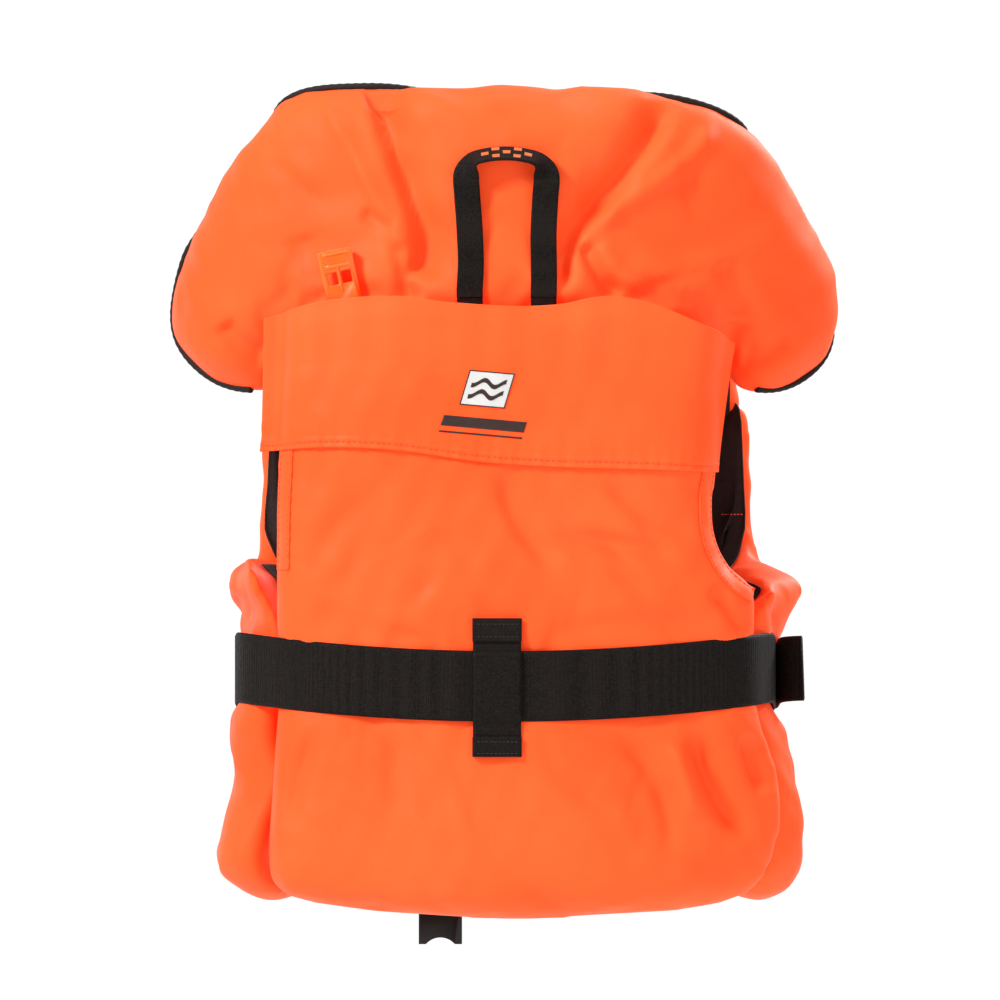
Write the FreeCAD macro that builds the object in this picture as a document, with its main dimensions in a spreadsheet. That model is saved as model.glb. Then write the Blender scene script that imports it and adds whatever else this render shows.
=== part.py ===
"""Child's foam life jacket, standing as worn: +Z up, the wearer faces -Y.

The origin is the centre of the torso opening at hem height. Every panel is a band bent round the
torso (its plan) cut to an outline seen from the back or the side. Lengths are in millimetres.
"""

import FreeCAD, Part
import math
import os

from FreeCAD import Vector

# ---------------------------------------------------------------- driving dimensions
SIZES = {
    "side_half": 165.0,        # outer half width of the jacket
    "front_face": 105.0,       # outer face of the front panels, in front of the origin
    "back_face": 105.0,        # outer face of the back panel, behind the origin
    "corner": 90.0,            # outer radius of the front corners
    "front_end": 28.0,         # where the front panels end at the side, short of their rounding
    "panel_thick": 40.0,
    "skin": 2.0,               # cover cloth with its seam allowance
    "lining_skin": 1.4,
    "gap": 0.3,                # air between neighbouring pieces
    "back_bend": 660.0,        # radius the back panel is bent to
    "back_half": 141.0,
    "back_rounding": 20.0,     # its long edges are rounded to this radius
    "back_shoulder": 126.0,
    "armhole_floor": 205.0,
    "armhole_front": -62.0,    # the armhole's edge on the front panel, seen from the side
    "back_top": 350.0,
    "front_hem": 20.0,
    "front_top": 300.0,
    "chest_half": 146.0,
    "neck_radius": 62.0,
    "neck_level": 352.0,
    "zip_half": 4.0,           # half the distance between the front panels
    "shoulder_inner": 62.0,
    "shoulder_outer": 126.0,
    "shoulder_thick": 20.0,
    "yoke_low": 268.0,
    "yoke_top": 361.0,
    "yoke_half": 139.0,
    "collar_top": 481.0,
    "collar_half": 187.0,
    "collar_notch": 131.0,     # half width of the stretch that sits on the neck seam
    "wing_floor": 315.0,
    "collar_floor": 353.0,
    "collar_thick": 58.0,
    "collar_back": 96.0,
    "collar_bend": 250.0,
    "piping": 4.0,
    "belt_width": 40.0,
    "webbing": 2.0,
    "belt_level": 141.0,
    "loop_web": 15.0,
    "loop_half": 29.0,
    "loop_height": 88.0,
    "loop_hinge": 364.0,
    "keeper_width": 28.0,
    "keeper_height": 80.0,
    "whistle_width": 20.0,
    "whistle_height": 40.0,
    "whistle_thick": 8.0,
    "whistle_side": 91.0,
    "whistle_foot": 352.5,
    "whistle_lean": 12.0,
    "tape_width": 13.0,
    "tape_thick": 0.8,
    "tooth_pitch": 4.0,
    "tooth_count": 66.0,
    "zip_floor": 24.0,
    "buckle_wide": 48.0,
    "buckle_thick": 12.0,
    "buckle_near": 108.7,      # the belt buckle's inner face, in front of the origin
    "arm_width": 8.4,
    "socket_small_wide": 25.5,
    "socket_small_tall": 30.0,
    "socket_small_thick": 10.0,
    "crotch_side": 38.0,       # where the lower buckle hangs, to the wearer's left
    "crotch_depth": 85.0,
}

doc = FreeCAD.newDocument("life_jacket")
sheet = doc.addObject("Spreadsheet::Sheet", "Sizes")
for row, (alias, value) in enumerate(SIZES.items(), start=1):
    sheet.set(f"A{row}", alias)
    sheet.set(f"B{row}", str(value))
    sheet.setAlias(f"B{row}", alias)
doc.recompute()

nodes = []


def size(alias):
    """The value the sheet holds for one alias."""
    return float(sheet.get(alias))


# ---------------------------------------------------------------- outlines
def outline(points):
    """Closed edges through points; a point written (u, v, "via") is the middle of an arc."""
    edges = []
    count = len(points)
    start = 0
    while start < count:
        middle = points[(start + 1) % count]
        if len(middle) == 3:
            end = points[(start + 2) % count]
            edges.append(Part.Arc(Vector(*points[start][:2], 0), Vector(*middle[:2], 0),
                                  Vector(*end[:2], 0)))
            start += 2
        else:
            edges.append(Part.LineSegment(Vector(*points[start][:2], 0), Vector(*middle[:2], 0)))
            start += 1
    return edges


def mirrored(points, side):
    """The same points on the wearer's left (side 1) or right (side -1)."""
    return [(side * point[0],) + tuple(point[1:]) for point in points]


def webbing_outline(start, heading, steps, thick):
    """Closed edges of a strip of even thickness that follows straight runs and turns.

    A step is ("go", length) or ("turn", radius, degrees), left turns positive.
    """
    rails = {1: [], -1: []}
    place = Vector(start[0], start[1], 0)
    angle = math.radians(heading)

    def beside(point, direction, side):
        return point + Vector(-math.sin(direction), math.cos(direction), 0) * side * thick / 2

    first = {side: beside(place, angle, side) for side in rails}
    for step in steps:
        if step[0] == "go":
            end = place + Vector(math.cos(angle), math.sin(angle), 0) * step[1]
            for side in rails:
                rails[side].append(Part.LineSegment(beside(place, angle, side),
                                                    beside(end, angle, side)))
            place = end
            continue
        turn = math.radians(step[2])
        way = math.copysign(1.0, turn)
        centre = place + Vector(-math.sin(angle), math.cos(angle), 0) * way * step[1]

        def on_turn(part):
            spoke = place - centre
            bend = turn * part
            return centre + Vector(spoke.x * math.cos(bend) - spoke.y * math.sin(bend),
                                   spoke.x * math.sin(bend) + spoke.y * math.cos(bend), 0)

        for side in rails:
            stops = [beside(on_turn(part), angle + turn * part, side) for part in (0.0, 0.5, 1.0)]
            rails[side].append(Part.Arc(*stops))
        place = on_turn(1.0)
        angle += turn
    last = {side: beside(place, angle, side) for side in rails}
    caps = [Part.LineSegment(last[1], last[-1]), Part.LineSegment(first[-1], first[1])]
    return rails[1] + rails[-1] + caps


# ---------------------------------------------------------------- bodies
def add_body(label):
    body = doc.addObject("PartDesign::Body", label)
    body.Label = label
    return body


def add_sketch(body, plane, edges, lift=None):
    """A sketch on one of the body's own origin planes, lifted along its normal."""
    sketch = body.newObject("Sketcher::SketchObject", f"{body.Label}_sketch")
    support = [item for item in body.Origin.OriginFeatures if item.Role == plane][0]
    sketch.AttachmentSupport = [(support, "")]
    sketch.MapMode = "FlatFace"
    if lift is not None:
        sketch.setExpression("AttachmentOffset.Base.z", lift)
    sketch.addGeometry(edges, False)
    return sketch


def add_pad(body, sketch, length, middle=False):
    pad = body.newObject("PartDesign::Pad", f"{body.Label}_pad")
    pad.Profile = sketch
    pad.setExpression("Length", length)
    if middle:
        pad.SideType = "Symmetric"
    return pad


def cut_through(body, plane, edges):
    """A pocket right through the body, both ways from an origin plane; it must remove something."""
    doc.recompute()
    before = body.Shape.Volume
    sketch = add_sketch(body, plane, edges)
    pocket = body.newObject("PartDesign::Pocket", f"{body.Label}_pocket")
    pocket.Profile = sketch
    pocket.SideType = "Symmetric"
    pocket.Type = "ThroughAll"
    doc.recompute()
    assert body.Shape.Volume < before, f"{body.Label}: the pocket cut nothing"
    return pocket


def slab(label, plane, edges, length, lift=None, middle=False):
    """One sketch and one pad: the plainest kind of piece."""
    body = add_body(label)
    add_pad(body, add_sketch(body, plane, edges, lift), length, middle)
    return body


def common(label, *pieces):
    result = doc.addObject("Part::MultiCommon", label)
    result.Label = label
    result.Shapes = list(pieces)
    return result


def cut(label, base, tool):
    result = doc.addObject("Part::Cut", label)
    result.Label = label
    result.Base = base
    result.Tool = tool
    return result


def fuse(label, *pieces):
    result = doc.addObject("Part::MultiFuse", label)
    result.Label = label
    result.Shapes = list(pieces)
    return result


def box(label, low, high):
    """A Part::Box between two corners."""
    result = doc.addObject("Part::Box", label)
    result.Label = label
    result.Length, result.Width, result.Height = [high[axis] - low[axis] for axis in range(3)]
    result.Placement = FreeCAD.Placement(Vector(*low), FreeCAD.Rotation())
    return result


def rod(label, base, direction, radius, length):
    """A Part::Cylinder from its base point along a direction."""
    result = doc.addObject("Part::Cylinder", label)
    result.Label = label
    result.Radius = radius
    result.Height = length
    turn = FreeCAD.Rotation(Vector(0, 0, 1), Vector(*direction))
    result.Placement = FreeCAD.Placement(Vector(*base), turn)
    return result


def keep(piece):
    """Marks an object as a finished sub-part; its label names its file."""
    nodes.append(piece)
    return piece


ABOVE = "600"                  # longer than the jacket, for outlines cut right through it
BEYOND_COLLAR = 195.0          # past the collar's ends, for plans that its outline cuts off


# ---------------------------------------------------------------- plans and outlines of the panels
def back_plan(outer, inner, inset):
    """The bent back panel seen from above; outer and inner are depths in from its outer face."""
    centre = size("back_face") - size("back_bend")
    far = size("back_bend") - outer
    near = size("back_bend") - inner
    half = size("back_half") - inset
    rounding = size("back_rounding")
    hub_x = half - rounding
    hub_y = centre + math.sqrt((far - rounding) ** 2 - hub_x ** 2)
    lean = math.atan2(hub_y - centre, hub_x)
    inner_y = centre + math.sqrt(near ** 2 - half ** 2)
    turned = (hub_x + rounding * math.cos(lean), hub_y + rounding * math.sin(lean))
    middle = (hub_x + rounding * math.cos(lean / 2), hub_y + rounding * math.sin(lean / 2))
    return [
        (-half, inner_y),
        (0.0, centre + near, "via"),
        (half, inner_y),
        (half, hub_y),
        (middle[0], middle[1], "via"),
        turned,
        (0.0, centre + far, "via"),
        (-turned[0], turned[1]),
        (-middle[0], middle[1], "via"),
        (-half, hub_y),
    ]


def bent_strip(outer, inner, half):
    """A thin bent strip that follows the back panel's face; negative depths stand proud of it."""
    centre = size("back_face") - size("back_bend")
    far = size("back_bend") - outer
    near = size("back_bend") - inner
    return [
        (-half, centre + math.sqrt(near ** 2 - half ** 2)),
        (0.0, centre + near, "via"),
        (half, centre + math.sqrt(near ** 2 - half ** 2)),
        (half, centre + math.sqrt(far ** 2 - half ** 2)),
        (0.0, centre + far, "via"),
        (-half, centre + math.sqrt(far ** 2 - half ** 2)),
    ]


def back_outline(inset):
    """The back panel from behind: straight sides, curving in to the armholes."""
    half = size("back_half") - inset
    shoulder = size("back_shoulder") - inset
    floor = size("armhole_floor") - inset
    top = size("back_top") - inset
    waist = half - shoulder
    return [
        (-half - 1.0, inset),
        (half + 1.0, inset),
        (half + 1.0, floor),
        (shoulder + waist * 0.3, floor + 7.0, "via"),
        (shoulder, floor + 24.0),
        (shoulder, top),
        (-shoulder, top),
        (-shoulder, floor + 24.0),
        (-shoulder - waist * 0.3, floor + 7.0, "via"),
        (-half - 1.0, floor),
    ]


def front_plan(side, outer, inner, inset):
    """Half of the front seen from above: from the zip round the corner to the side."""
    face = size("front_face")
    wide = size("side_half")
    corner = size("corner")
    nose_y = size("front_end") - inset
    centre = (wide - corner, corner - face)
    half_turn = math.sqrt(0.5)
    near = corner - inner
    far = corner - outer
    start = size("zip_half") + inset
    nose_far = wide - outer
    nose_near = wide - inner
    middle = (nose_far + nose_near) / 2
    reach = (nose_far - nose_near) / 2
    return mirrored([
        (start, outer - face),
        (centre[0], outer - face),
        (centre[0] + far * half_turn, centre[1] - far * half_turn, "via"),
        (nose_far, centre[1]),
        (nose_far, nose_y),
        (middle, nose_y + reach, "via"),
        (nose_near, nose_y),
        (nose_near, centre[1]),
        (centre[0] + near * half_turn, centre[1] - near * half_turn, "via"),
        (centre[0], inner - face),
        (start, inner - face),
    ], side)


def front_outline(side, inset):
    """A front panel from the front: hem, tapering chest and neckline."""
    low = size("front_hem") + inset
    top = size("front_top") - inset
    wide = size("side_half") + 5.0
    chest = size("chest_half") - inset
    neck = size("neck_radius") + inset
    level = size("neck_level")
    top_half = math.sqrt(neck ** 2 - (level - top) ** 2)
    meet = size("zip_half") + inset
    meet_z = level - math.sqrt(neck ** 2 - meet ** 2)
    between = (top_half + meet) / 2
    return mirrored([
        (meet - 1.0, low),
        (wide, low),
        (wide, size("armhole_floor")),
        (chest, size("armhole_floor") + 20.0),
        (size("shoulder_outer") - inset, top),
        (top_half, top),
        (between, level - math.sqrt(neck ** 2 - between ** 2), "via"),
        (meet, meet_z),
        (meet - 1.0, meet_z),
    ], side)


def armhole_side(inset):
    """The front panel's armhole from the side (Y, Z): all behind and above this is open."""
    edge = size("armhole_front") - inset
    floor = size("armhole_floor") - inset
    return [
        (edge, 420.0),
        (edge, floor + 45.0),
        (edge + 13.0, floor + 13.0, "via"),
        (edge + 45.0, floor),
        (120.0, floor),
        (120.0, 420.0),
    ]


# ---------------------------------------------------------------- back panel
def back_piece(label, outer, inner, inset, plan_points=None):
    points = plan_points or back_plan(outer, inner, inset)
    plan = slab(f"{label}_plan", "XY_Plane", outline(points), ABOVE)
    face = slab(f"{label}_face", "XZ_Plane", outline(back_outline(inset)), ABOVE, middle=True)
    return common(label, plan, face)


def make_back():
    """Cover with a foam slab behind it and a dark lining that closes it on the wearer's side."""
    thick = size("panel_thick")
    skin = size("skin")
    gap = size("gap")
    lining = size("lining_skin")
    whole = back_piece("back_whole", 0.0, thick, 0.0)
    hollow = back_piece("back_hollow", skin, thick + 1.0, skin)
    keep(cut("back_cover", whole, hollow))
    keep(back_piece("back_foam", skin + gap, thick - lining - gap, skin + gap))
    lined = bent_strip(thick - lining, thick, size("back_half") - skin - gap)
    keep(back_piece("back_lining", thick - lining, thick, skin + gap, lined))


def make_yoke():
    """The doubled cloth over the shoulder blades, sewn down along its lower edge."""
    gap = size("gap")
    half = size("yoke_half")
    plan = slab("yoke_plan", "XY_Plane", outline(bent_strip(-gap - size("skin"), -gap, half)), ABOVE)
    low = size("yoke_low")
    top = size("yoke_top")
    sag = 3.0
    clip_wide = 34.0
    clip_tall = 14.0
    face = slab("yoke_face", "XZ_Plane", outline([
        (-half, low + sag),
        (0.0, low - sag, "via"),
        (half, low + sag),
        (half, top - clip_tall),
        (half - clip_wide, top),
        (clip_wide - half, top),
        (-half, top - clip_tall),
    ]), ABOVE, middle=True)
    keep(common("back_yoke", plan, face))

    badge_near = -gap - size("skin") - 0.1
    badge_far = badge_near - 0.5
    left, wide, tall = -6.0, 26.0, 20.0
    foot = top - 61.0
    slant = 3.0
    plan = slab("badge_plan", "XY_Plane", outline(bent_strip(badge_far, badge_near, half / 2)), ABOVE)
    face = slab("badge_face", "XZ_Plane", outline([
        (left, foot),
        (left + wide, foot),
        (left + wide + slant, foot + tall),
        (left + slant, foot + tall),
    ]), ABOVE, middle=True)
    keep(common("yoke_badge", plan, face))


def make_facing(side, name):
    """The sewn facing strip round the back panel's armhole, below the yoke."""
    gap = size("gap")
    plan = slab(f"{name}_plan", "XY_Plane",
                outline(bent_strip(-gap - 0.9, -gap, size("back_shoulder"))), ABOVE)
    edge = size("back_shoulder")
    floor = size("armhole_floor")
    strip = 11.0
    face = slab(f"{name}_face", "XZ_Plane", outline(mirrored([
        (edge, size("yoke_low") - 2.0),
        (edge - strip, size("yoke_low") - 2.0),
        (edge - strip, floor + 18.0),
        (edge - strip * 0.5, floor + 2.0, "via"),
        (edge + 4.0, floor - 8.0),
        (edge + 8.0, floor + 2.0),
        (edge + 1.5, floor + 12.0, "via"),
        (edge, floor + 24.0),
    ], side)), ABOVE, middle=True)
    keep(common(name, plan, face))


# ---------------------------------------------------------------- front panels
def front_piece(label, side, outer, inner, inset):
    plan = slab(f"{label}_plan", "XY_Plane", outline(front_plan(side, outer, inner, inset)), ABOVE)
    face = slab(f"{label}_face", "XZ_Plane", outline(front_outline(side, inset)), ABOVE, middle=True)
    arm = slab(f"{label}_arm", "YZ_Plane", outline(armhole_side(inset)), ABOVE, middle=True)
    return cut(label, common(f"{label}_block", plan, face), arm)


def make_front(side, name):
    """One front panel: cover, foam slab and lining, wrapping round to the side."""
    thick = size("panel_thick")
    skin = size("skin")
    gap = size("gap")
    lining = size("lining_skin")
    whole = front_piece(f"{name}_whole", side, 0.0, thick, 0.0)
    hollow = front_piece(f"{name}_hollow", side, skin, thick + 1.0, skin)
    keep(cut(f"{name}_cover", whole, hollow))
    keep(front_piece(f"{name}_foam", side, skin + gap, thick - lining - gap, skin + gap))
    keep(front_piece(f"{name}_lining", side, thick - lining, thick, skin + gap))


def make_shoulder(side, name):
    """The padded strap over the shoulder, from the front panel's top to the back panel."""
    thick = size("shoulder_thick")
    low = size("front_top") + size("gap")
    profile = [
        (-103.0, low),
        (-50.0, 339.0, "via"),
        (50.0, 344.0),
        (50.0, 344.0 - thick),
        (-44.0, 339.0 - thick, "via"),
        (-103.0 + thick * 1.6, low),
    ]
    body = add_body(name)
    lift = "(Sizes.shoulder_inner + Sizes.shoulder_outer) / 2"
    sketch = add_sketch(body, "YZ_Plane", outline(profile), f"{lift} * {side}")
    add_pad(body, sketch, "Sizes.shoulder_outer - Sizes.shoulder_inner", middle=True)
    keep(body)


def make_reflector(side, name):
    """A reflective patch sewn to the chest."""
    face = size("front_face") + size("gap")
    inner = 26.0
    outer = 72.0
    floor = 232.0
    tall = 25.0
    thick = 0.6
    low = min(side * inner, side * outer)
    high = max(side * inner, side * outer)
    keep(box(name, (low, -face - thick, floor), (high, -face, floor + tall)))


# ---------------------------------------------------------------- collar
def collar_plan(outer, inner, half):
    """The collar seen from above: a band bent forward round the neck; depths in from its back."""
    bend = size("collar_bend") + size("collar_thick") / 2
    centre = size("collar_back") - bend
    far = bend - outer
    near = bend - inner
    return [
        (-half, centre + math.sqrt(near ** 2 - half ** 2)),
        (0.0, centre + near, "via"),
        (half, centre + math.sqrt(near ** 2 - half ** 2)),
        (half, centre + math.sqrt(far ** 2 - half ** 2)),
        (0.0, centre + far, "via"),
        (-half, centre + math.sqrt(far ** 2 - half ** 2)),
    ]


def collar_rim(inset):
    """The collar from behind, from the notch by one shoulder over the top to the other."""
    half = size("collar_half") - inset
    top = size("collar_top") - inset
    floor = size("wing_floor") + inset
    notch = size("collar_notch") + inset
    right_side = [
        (notch, floor + 1.0),
        (half - 42.0, floor),
        (half - 13.0, floor + 9.0, "via"),
        (half - 3.0, floor + 34.0),
        (half, floor + 60.0, "via"),
        (half - 10.0, floor + 92.0),
        (half - 50.0, top - 17.0),
        (half - 68.0, top - 5.0, "via"),
        (half - 96.0, top),
    ]
    left_side = [(-point[0],) + tuple(point[1:]) for point in reversed(right_side)]
    return right_side + left_side


def collar_piece(label, outer, inner, inset, first=None, last=None):
    """A slab of the collar; first and last cut it between two places across."""
    base = size("collar_floor") + inset
    notch = size("collar_notch") + inset
    edge = [(-notch, base), (notch, base)]
    plan = slab(f"{label}_plan", "XY_Plane", outline(collar_plan(outer, inner, BEYOND_COLLAR)), ABOVE)
    face = slab(f"{label}_face", "XZ_Plane", outline(edge + collar_rim(inset)), ABOVE, middle=True)
    if first is None:
        return common(label, plan, face)
    deep = size("side_half")
    part = box(f"{label}_part", (first, -deep, 0.0), (last, deep, 2.0 * size("collar_top")))
    return common(label, plan, face, part)


def make_collar():
    """One big cover with three foam pads inside and piping sewn into its rim."""
    thick = size("collar_thick")
    skin = size("skin")
    gap = size("gap")
    whole = collar_piece("collar_whole", 0.0, thick, 0.0)
    hollow = collar_piece("collar_hollow", skin, thick - skin, skin)
    keep(cut("collar_cover", whole, hollow))
    inner = skin + gap
    crease = 72.0
    keep(collar_piece("collar_foam_centre", inner, thick - inner, inner, -crease, crease))
    keep(collar_piece("collar_foam_left", inner, thick - inner, inner, crease + gap, BEYOND_COLLAR))
    keep(collar_piece("collar_foam_right", inner, thick - inner, inner, -BEYOND_COLLAR, -crease - gap))

    cord = size("piping")
    middle = (thick - cord) / 2
    open_end = size("collar_notch") - gap
    below = size("collar_floor") - 2.0 * cord
    ring_plan = slab("piping_plan", "XY_Plane",
                     outline(collar_plan(middle, middle + cord, BEYOND_COLLAR)), ABOVE)
    ring = slab("piping_face", "XZ_Plane", outline(
        [(-open_end, below), (open_end, below)] + collar_rim(-cord - gap)), ABOVE, middle=True)
    whole_ring = common("piping_whole", ring_plan, ring)
    core = slab("piping_core", "XZ_Plane", outline(
        [(-open_end, below - 1.0), (open_end, below - 1.0)] + collar_rim(-gap)), ABOVE, middle=True)
    keep(cut("collar_piping", whole_ring, core))


def make_lifting_loop():
    """The webbing loop at the neck that a swimmer is lifted by."""
    half = size("loop_half")
    web = size("loop_web")
    low = size("loop_hinge")
    top = low + size("loop_height")
    body = slab("lifting_loop", "XZ_Plane", outline([
        (-half, low), (-half + web, low), (-half + web, top - web - 3.0), (half - web, top - web - 3.0),
        (half - web, low), (half, low), (half, top - 6.0), (half - 3.0, top - 2.0, "via"),
        (half - 8.0, top), (8.0 - half, top), (3.0 - half, top - 2.0, "via"), (-half, top - 6.0),
    ]), "Sizes.webbing", lift="-(Sizes.collar_back + Sizes.webbing * 2)")
    keep(body)


def make_whistle():
    """A flat pealess whistle, tucked upright between the yoke and the collar."""
    wide = size("whistle_width")
    tall = size("whistle_height")
    body = add_body("whistle")
    half = wide / 2
    add_pad(body, add_sketch(body, "XZ_Plane", outline([
        (-half, 0.0), (half, 0.0), (half, tall - 2.0), (half - 0.6, tall - 0.6, "via"),
        (half - 2.0, tall), (2.0 - half, tall), (0.6 - half, tall - 0.6, "via"), (-half, tall - 2.0),
    ])), "Sizes.whistle_thick")
    window_low = tall - 20.0
    for side in (-1, 1):
        cut_through(body, "XZ_Plane", outline(mirrored([
            (1.2, window_low), (half - 3.0, window_low),
            (half - 3.0, window_low + 7.0), (1.2, window_low + 7.0),
        ], side)))
    foot = Vector(size("whistle_side"), size("collar_back"), size("whistle_foot"))
    lean = FreeCAD.Rotation(Vector(0, 1, 0), size("whistle_lean"))
    body.Placement = FreeCAD.Placement(foot, lean)
    keep(body)


# ---------------------------------------------------------------- belt
def belt_route():
    """Steps of the belt round the jacket, from the wearer's left front to the right front."""
    proud = size("gap") + size("webbing") / 2
    front_turn = size("corner") + proud
    back_turn = size("back_bend") + proud
    half_back = math.degrees(math.asin((size("back_half") - size("back_rounding")) / size("back_bend")))
    across = back_turn * math.sin(math.radians(half_back))
    depth = size("back_face") + proud - back_turn * (1.0 - math.cos(math.radians(half_back)))
    lean = math.radians(half_back)
    wide = size("side_half") + proud
    side_turn = (wide - across) / (1.0 - math.sin(lean))
    side_start = depth - side_turn * math.cos(lean)
    straight = side_start - (size("corner") - size("front_face"))
    return [
        ("turn", front_turn, 90.0),
        ("go", straight),
        ("turn", side_turn, 90.0 - half_back),
        ("turn", back_turn, half_back * 2.0),
        ("turn", side_turn, 90.0 - half_back),
        ("go", straight),
        ("turn", front_turn, 90.0),
    ]


def belt_slab(label, edges, width=None):
    low = "Sizes.belt_level - Sizes.belt_width / 2"
    if width is None:
        return slab(label, "XY_Plane", edges, "Sizes.belt_width", lift=low)
    return slab(label, "XY_Plane", edges, width, lift=f"Sizes.belt_level - ({width}) / 2")


def make_belt():
    """Waist belt: sewn round the socket's bar at one end, free under the plug's end at the other."""
    web = size("webbing")
    depth = size("front_face") + size("gap") + web / 2
    corner_x = size("side_half") - size("corner")
    bar_x = 44.0
    hook = 4.2
    steps = [("go", 30.0), ("turn", hook, -180.0), ("go", corner_x - bar_x)]
    steps += belt_route()
    steps += [("go", 3.0)]
    start = (bar_x + 30.0, -depth - 2.0 * hook)
    keep(belt_slab("waist_belt", webbing_outline(start, 180.0, steps, web)))

    outer = depth + web + 0.4
    bar = 3.6
    keep(belt_slab("belt_end", webbing_outline((-66.0, -outer), 0.0, [
        ("go", 66.0 - bar_x), ("turn", bar, -180.0), ("go", 20.0)], web)))

    turn = size("corner") + outer - size("front_face")
    along = 14.2
    start = (-corner_x - turn * math.sin(math.radians(along)),
             size("corner") - size("front_face") - turn * math.cos(math.radians(along)))
    keep(belt_slab("belt_tail", webbing_outline(start, 180.0 - along, [
        ("turn", turn, along - 90.0), ("go", 22.0), ("turn", 40.0, 20.0), ("go", 12.0)], web),
        width="Sizes.belt_width - 4"))

    level = size("belt_level")
    high = size("keeper_height") / 2
    face = size("back_face") + size("gap")
    rise = web + 0.5
    body = add_body("back_belt_loop")
    profile = [
        (face, level - high), (face + web, level - high), (face + web, level - 25.0),
        (face + rise + web, level - 21.5), (face + rise + web, level + 21.5),
        (face + web, level + 25.0), (face + web, level + high), (face, level + high),
        (face, level + 24.4), (face + rise, level + 20.9), (face + rise, level - 20.9),
        (face, level - 24.4),
    ]
    sketch = add_sketch(body, "YZ_Plane", outline(profile), "4.5")
    add_pad(body, sketch, "Sizes.keeper_width", middle=True)
    keep(body)


def make_belt_buckle():
    """Side-release buckle: a socket on the jacket, a plug that pulls out, and its two arms."""
    near = -size("buckle_near")
    far = near - size("buckle_thick")
    level = size("belt_level")
    half = size("buckle_wide") / 2
    inside = 20.5
    wall = 2.2
    shell = box("socket_shell", (4.0, far, level - half), (50.0, near, level + half))
    mouth = box("socket_mouth", (3.0, far + wall, level - inside), (34.0, near - wall, level + inside))
    window = box("socket_window", (12.0, far + wall, level - half - 1.0), (27.0, near - wall, level + half + 1.0))
    slot = box("socket_slot", (38.0, far - 1.0, level - inside), (51.0, near + 1.0, level + inside))
    hollow = fuse("socket_hollow", mouth, window, slot)
    bar = rod("socket_bar", (44.0, near - 2.2, level - half + 1.0), (0, 0, 1), 2.0, 2.0 * half - 2.0)
    keep(fuse("belt_socket", cut("socket_cut", shell, hollow), bar))

    plate = box("plug_plate", (-50.0, far + 0.6, level - half + 1.0), (3.5, near - 1.2, level + half - 1.0))
    slot = box("plug_slot", (-51.0, far - 1.0, level - inside), (-36.0, near + 1.0, level + inside))
    bar = rod("plug_bar", (-44.0, -112.4, level - half + 2.0), (0, 0, 1), 2.0, 2.0 * half - 4.0)
    tongue = box("plug_tongue", (3.5, far + 3.4, level - 5.0), (30.0, near - 3.4, level + 5.0))
    body = cut("plug_body", fuse("plug_blank", plate, tongue), slot)
    keep(fuse("belt_plug", body, bar))

    for side, name in ((1, "belt_arm_upper"), (-1, "belt_arm_lower")):
        outer = 19.8
        inner = outer - size("arm_width")
        body = add_body(name)
        points = [(4.0, inner + 1.5), (9.0, inner + 1.5), (13.0, inner), (25.0, inner),
                  (28.0, inner + 3.0), (26.5, outer - 1.5), (24.0, outer, "via"), (21.0, outer),
                  (12.0, outer - 1.0), (4.0, outer - 2.0)]
        turned = [(point[0], level + side * point[1]) + tuple(point[2:]) for point in points]
        sketch = add_sketch(body, "XZ_Plane", outline(turned), f"{-far - 3.6}")
        pad = add_pad(body, sketch, "Sizes.buckle_thick - 7.2")
        pad.Reversed = True
        keep(body)


def make_crotch_buckle():
    """The small socket, mouth down, that hangs on a webbing tab under the front hem."""
    wide = size("socket_small_wide") / 2
    thick = size("socket_small_thick") / 2
    tall = size("socket_small_tall")
    side = size("crotch_side")
    depth = -size("crotch_depth")
    top = size("front_hem") - 5.0
    low = top - tall
    wall = 1.8
    shell = box("small_shell", (side - wide, depth - thick, low), (side + wide, depth + thick, top))
    mouth = box("small_mouth", (side - wide + wall, depth - thick + wall, low - 1.0),
                (side + wide - wall, depth + thick - wall, low + 17.0))
    window = box("small_window", (side - wide - 1.0, depth - thick + wall, low + 5.0),
                 (side + wide + 1.0, depth + thick - wall, low + 12.0))
    slot = box("small_slot", (side - 10.6, depth - thick - 1.0, top - 9.0),
               (side + 10.6, depth + thick + 1.0, top + 1.0))
    hollow = fuse("small_hollow", mouth, window, slot)
    bar = rod("small_bar", (side - 11.5, depth, top - 5.4), (1, 0, 0), 1.3, 23.0)
    keep(fuse("crotch_socket", cut("small_cut", shell, hollow), bar))

    body = add_body("crotch_tab")
    turn = 2.5
    web = 1.2
    hem = size("front_hem") - turn - web / 2
    bar_drop = hem - top + 5.4
    sketch = add_sketch(body, "YZ_Plane", webbing_outline(
        (depth - turn, hem), -90.0, [("go", bar_drop), ("turn", turn, 180.0), ("go", bar_drop)],
        web), "Sizes.crotch_side")
    add_pad(body, sketch, "20", middle=True)
    keep(body)


# ---------------------------------------------------------------- zip
def zip_top():
    return size("zip_floor") + size("tooth_pitch") * size("tooth_count")


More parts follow.
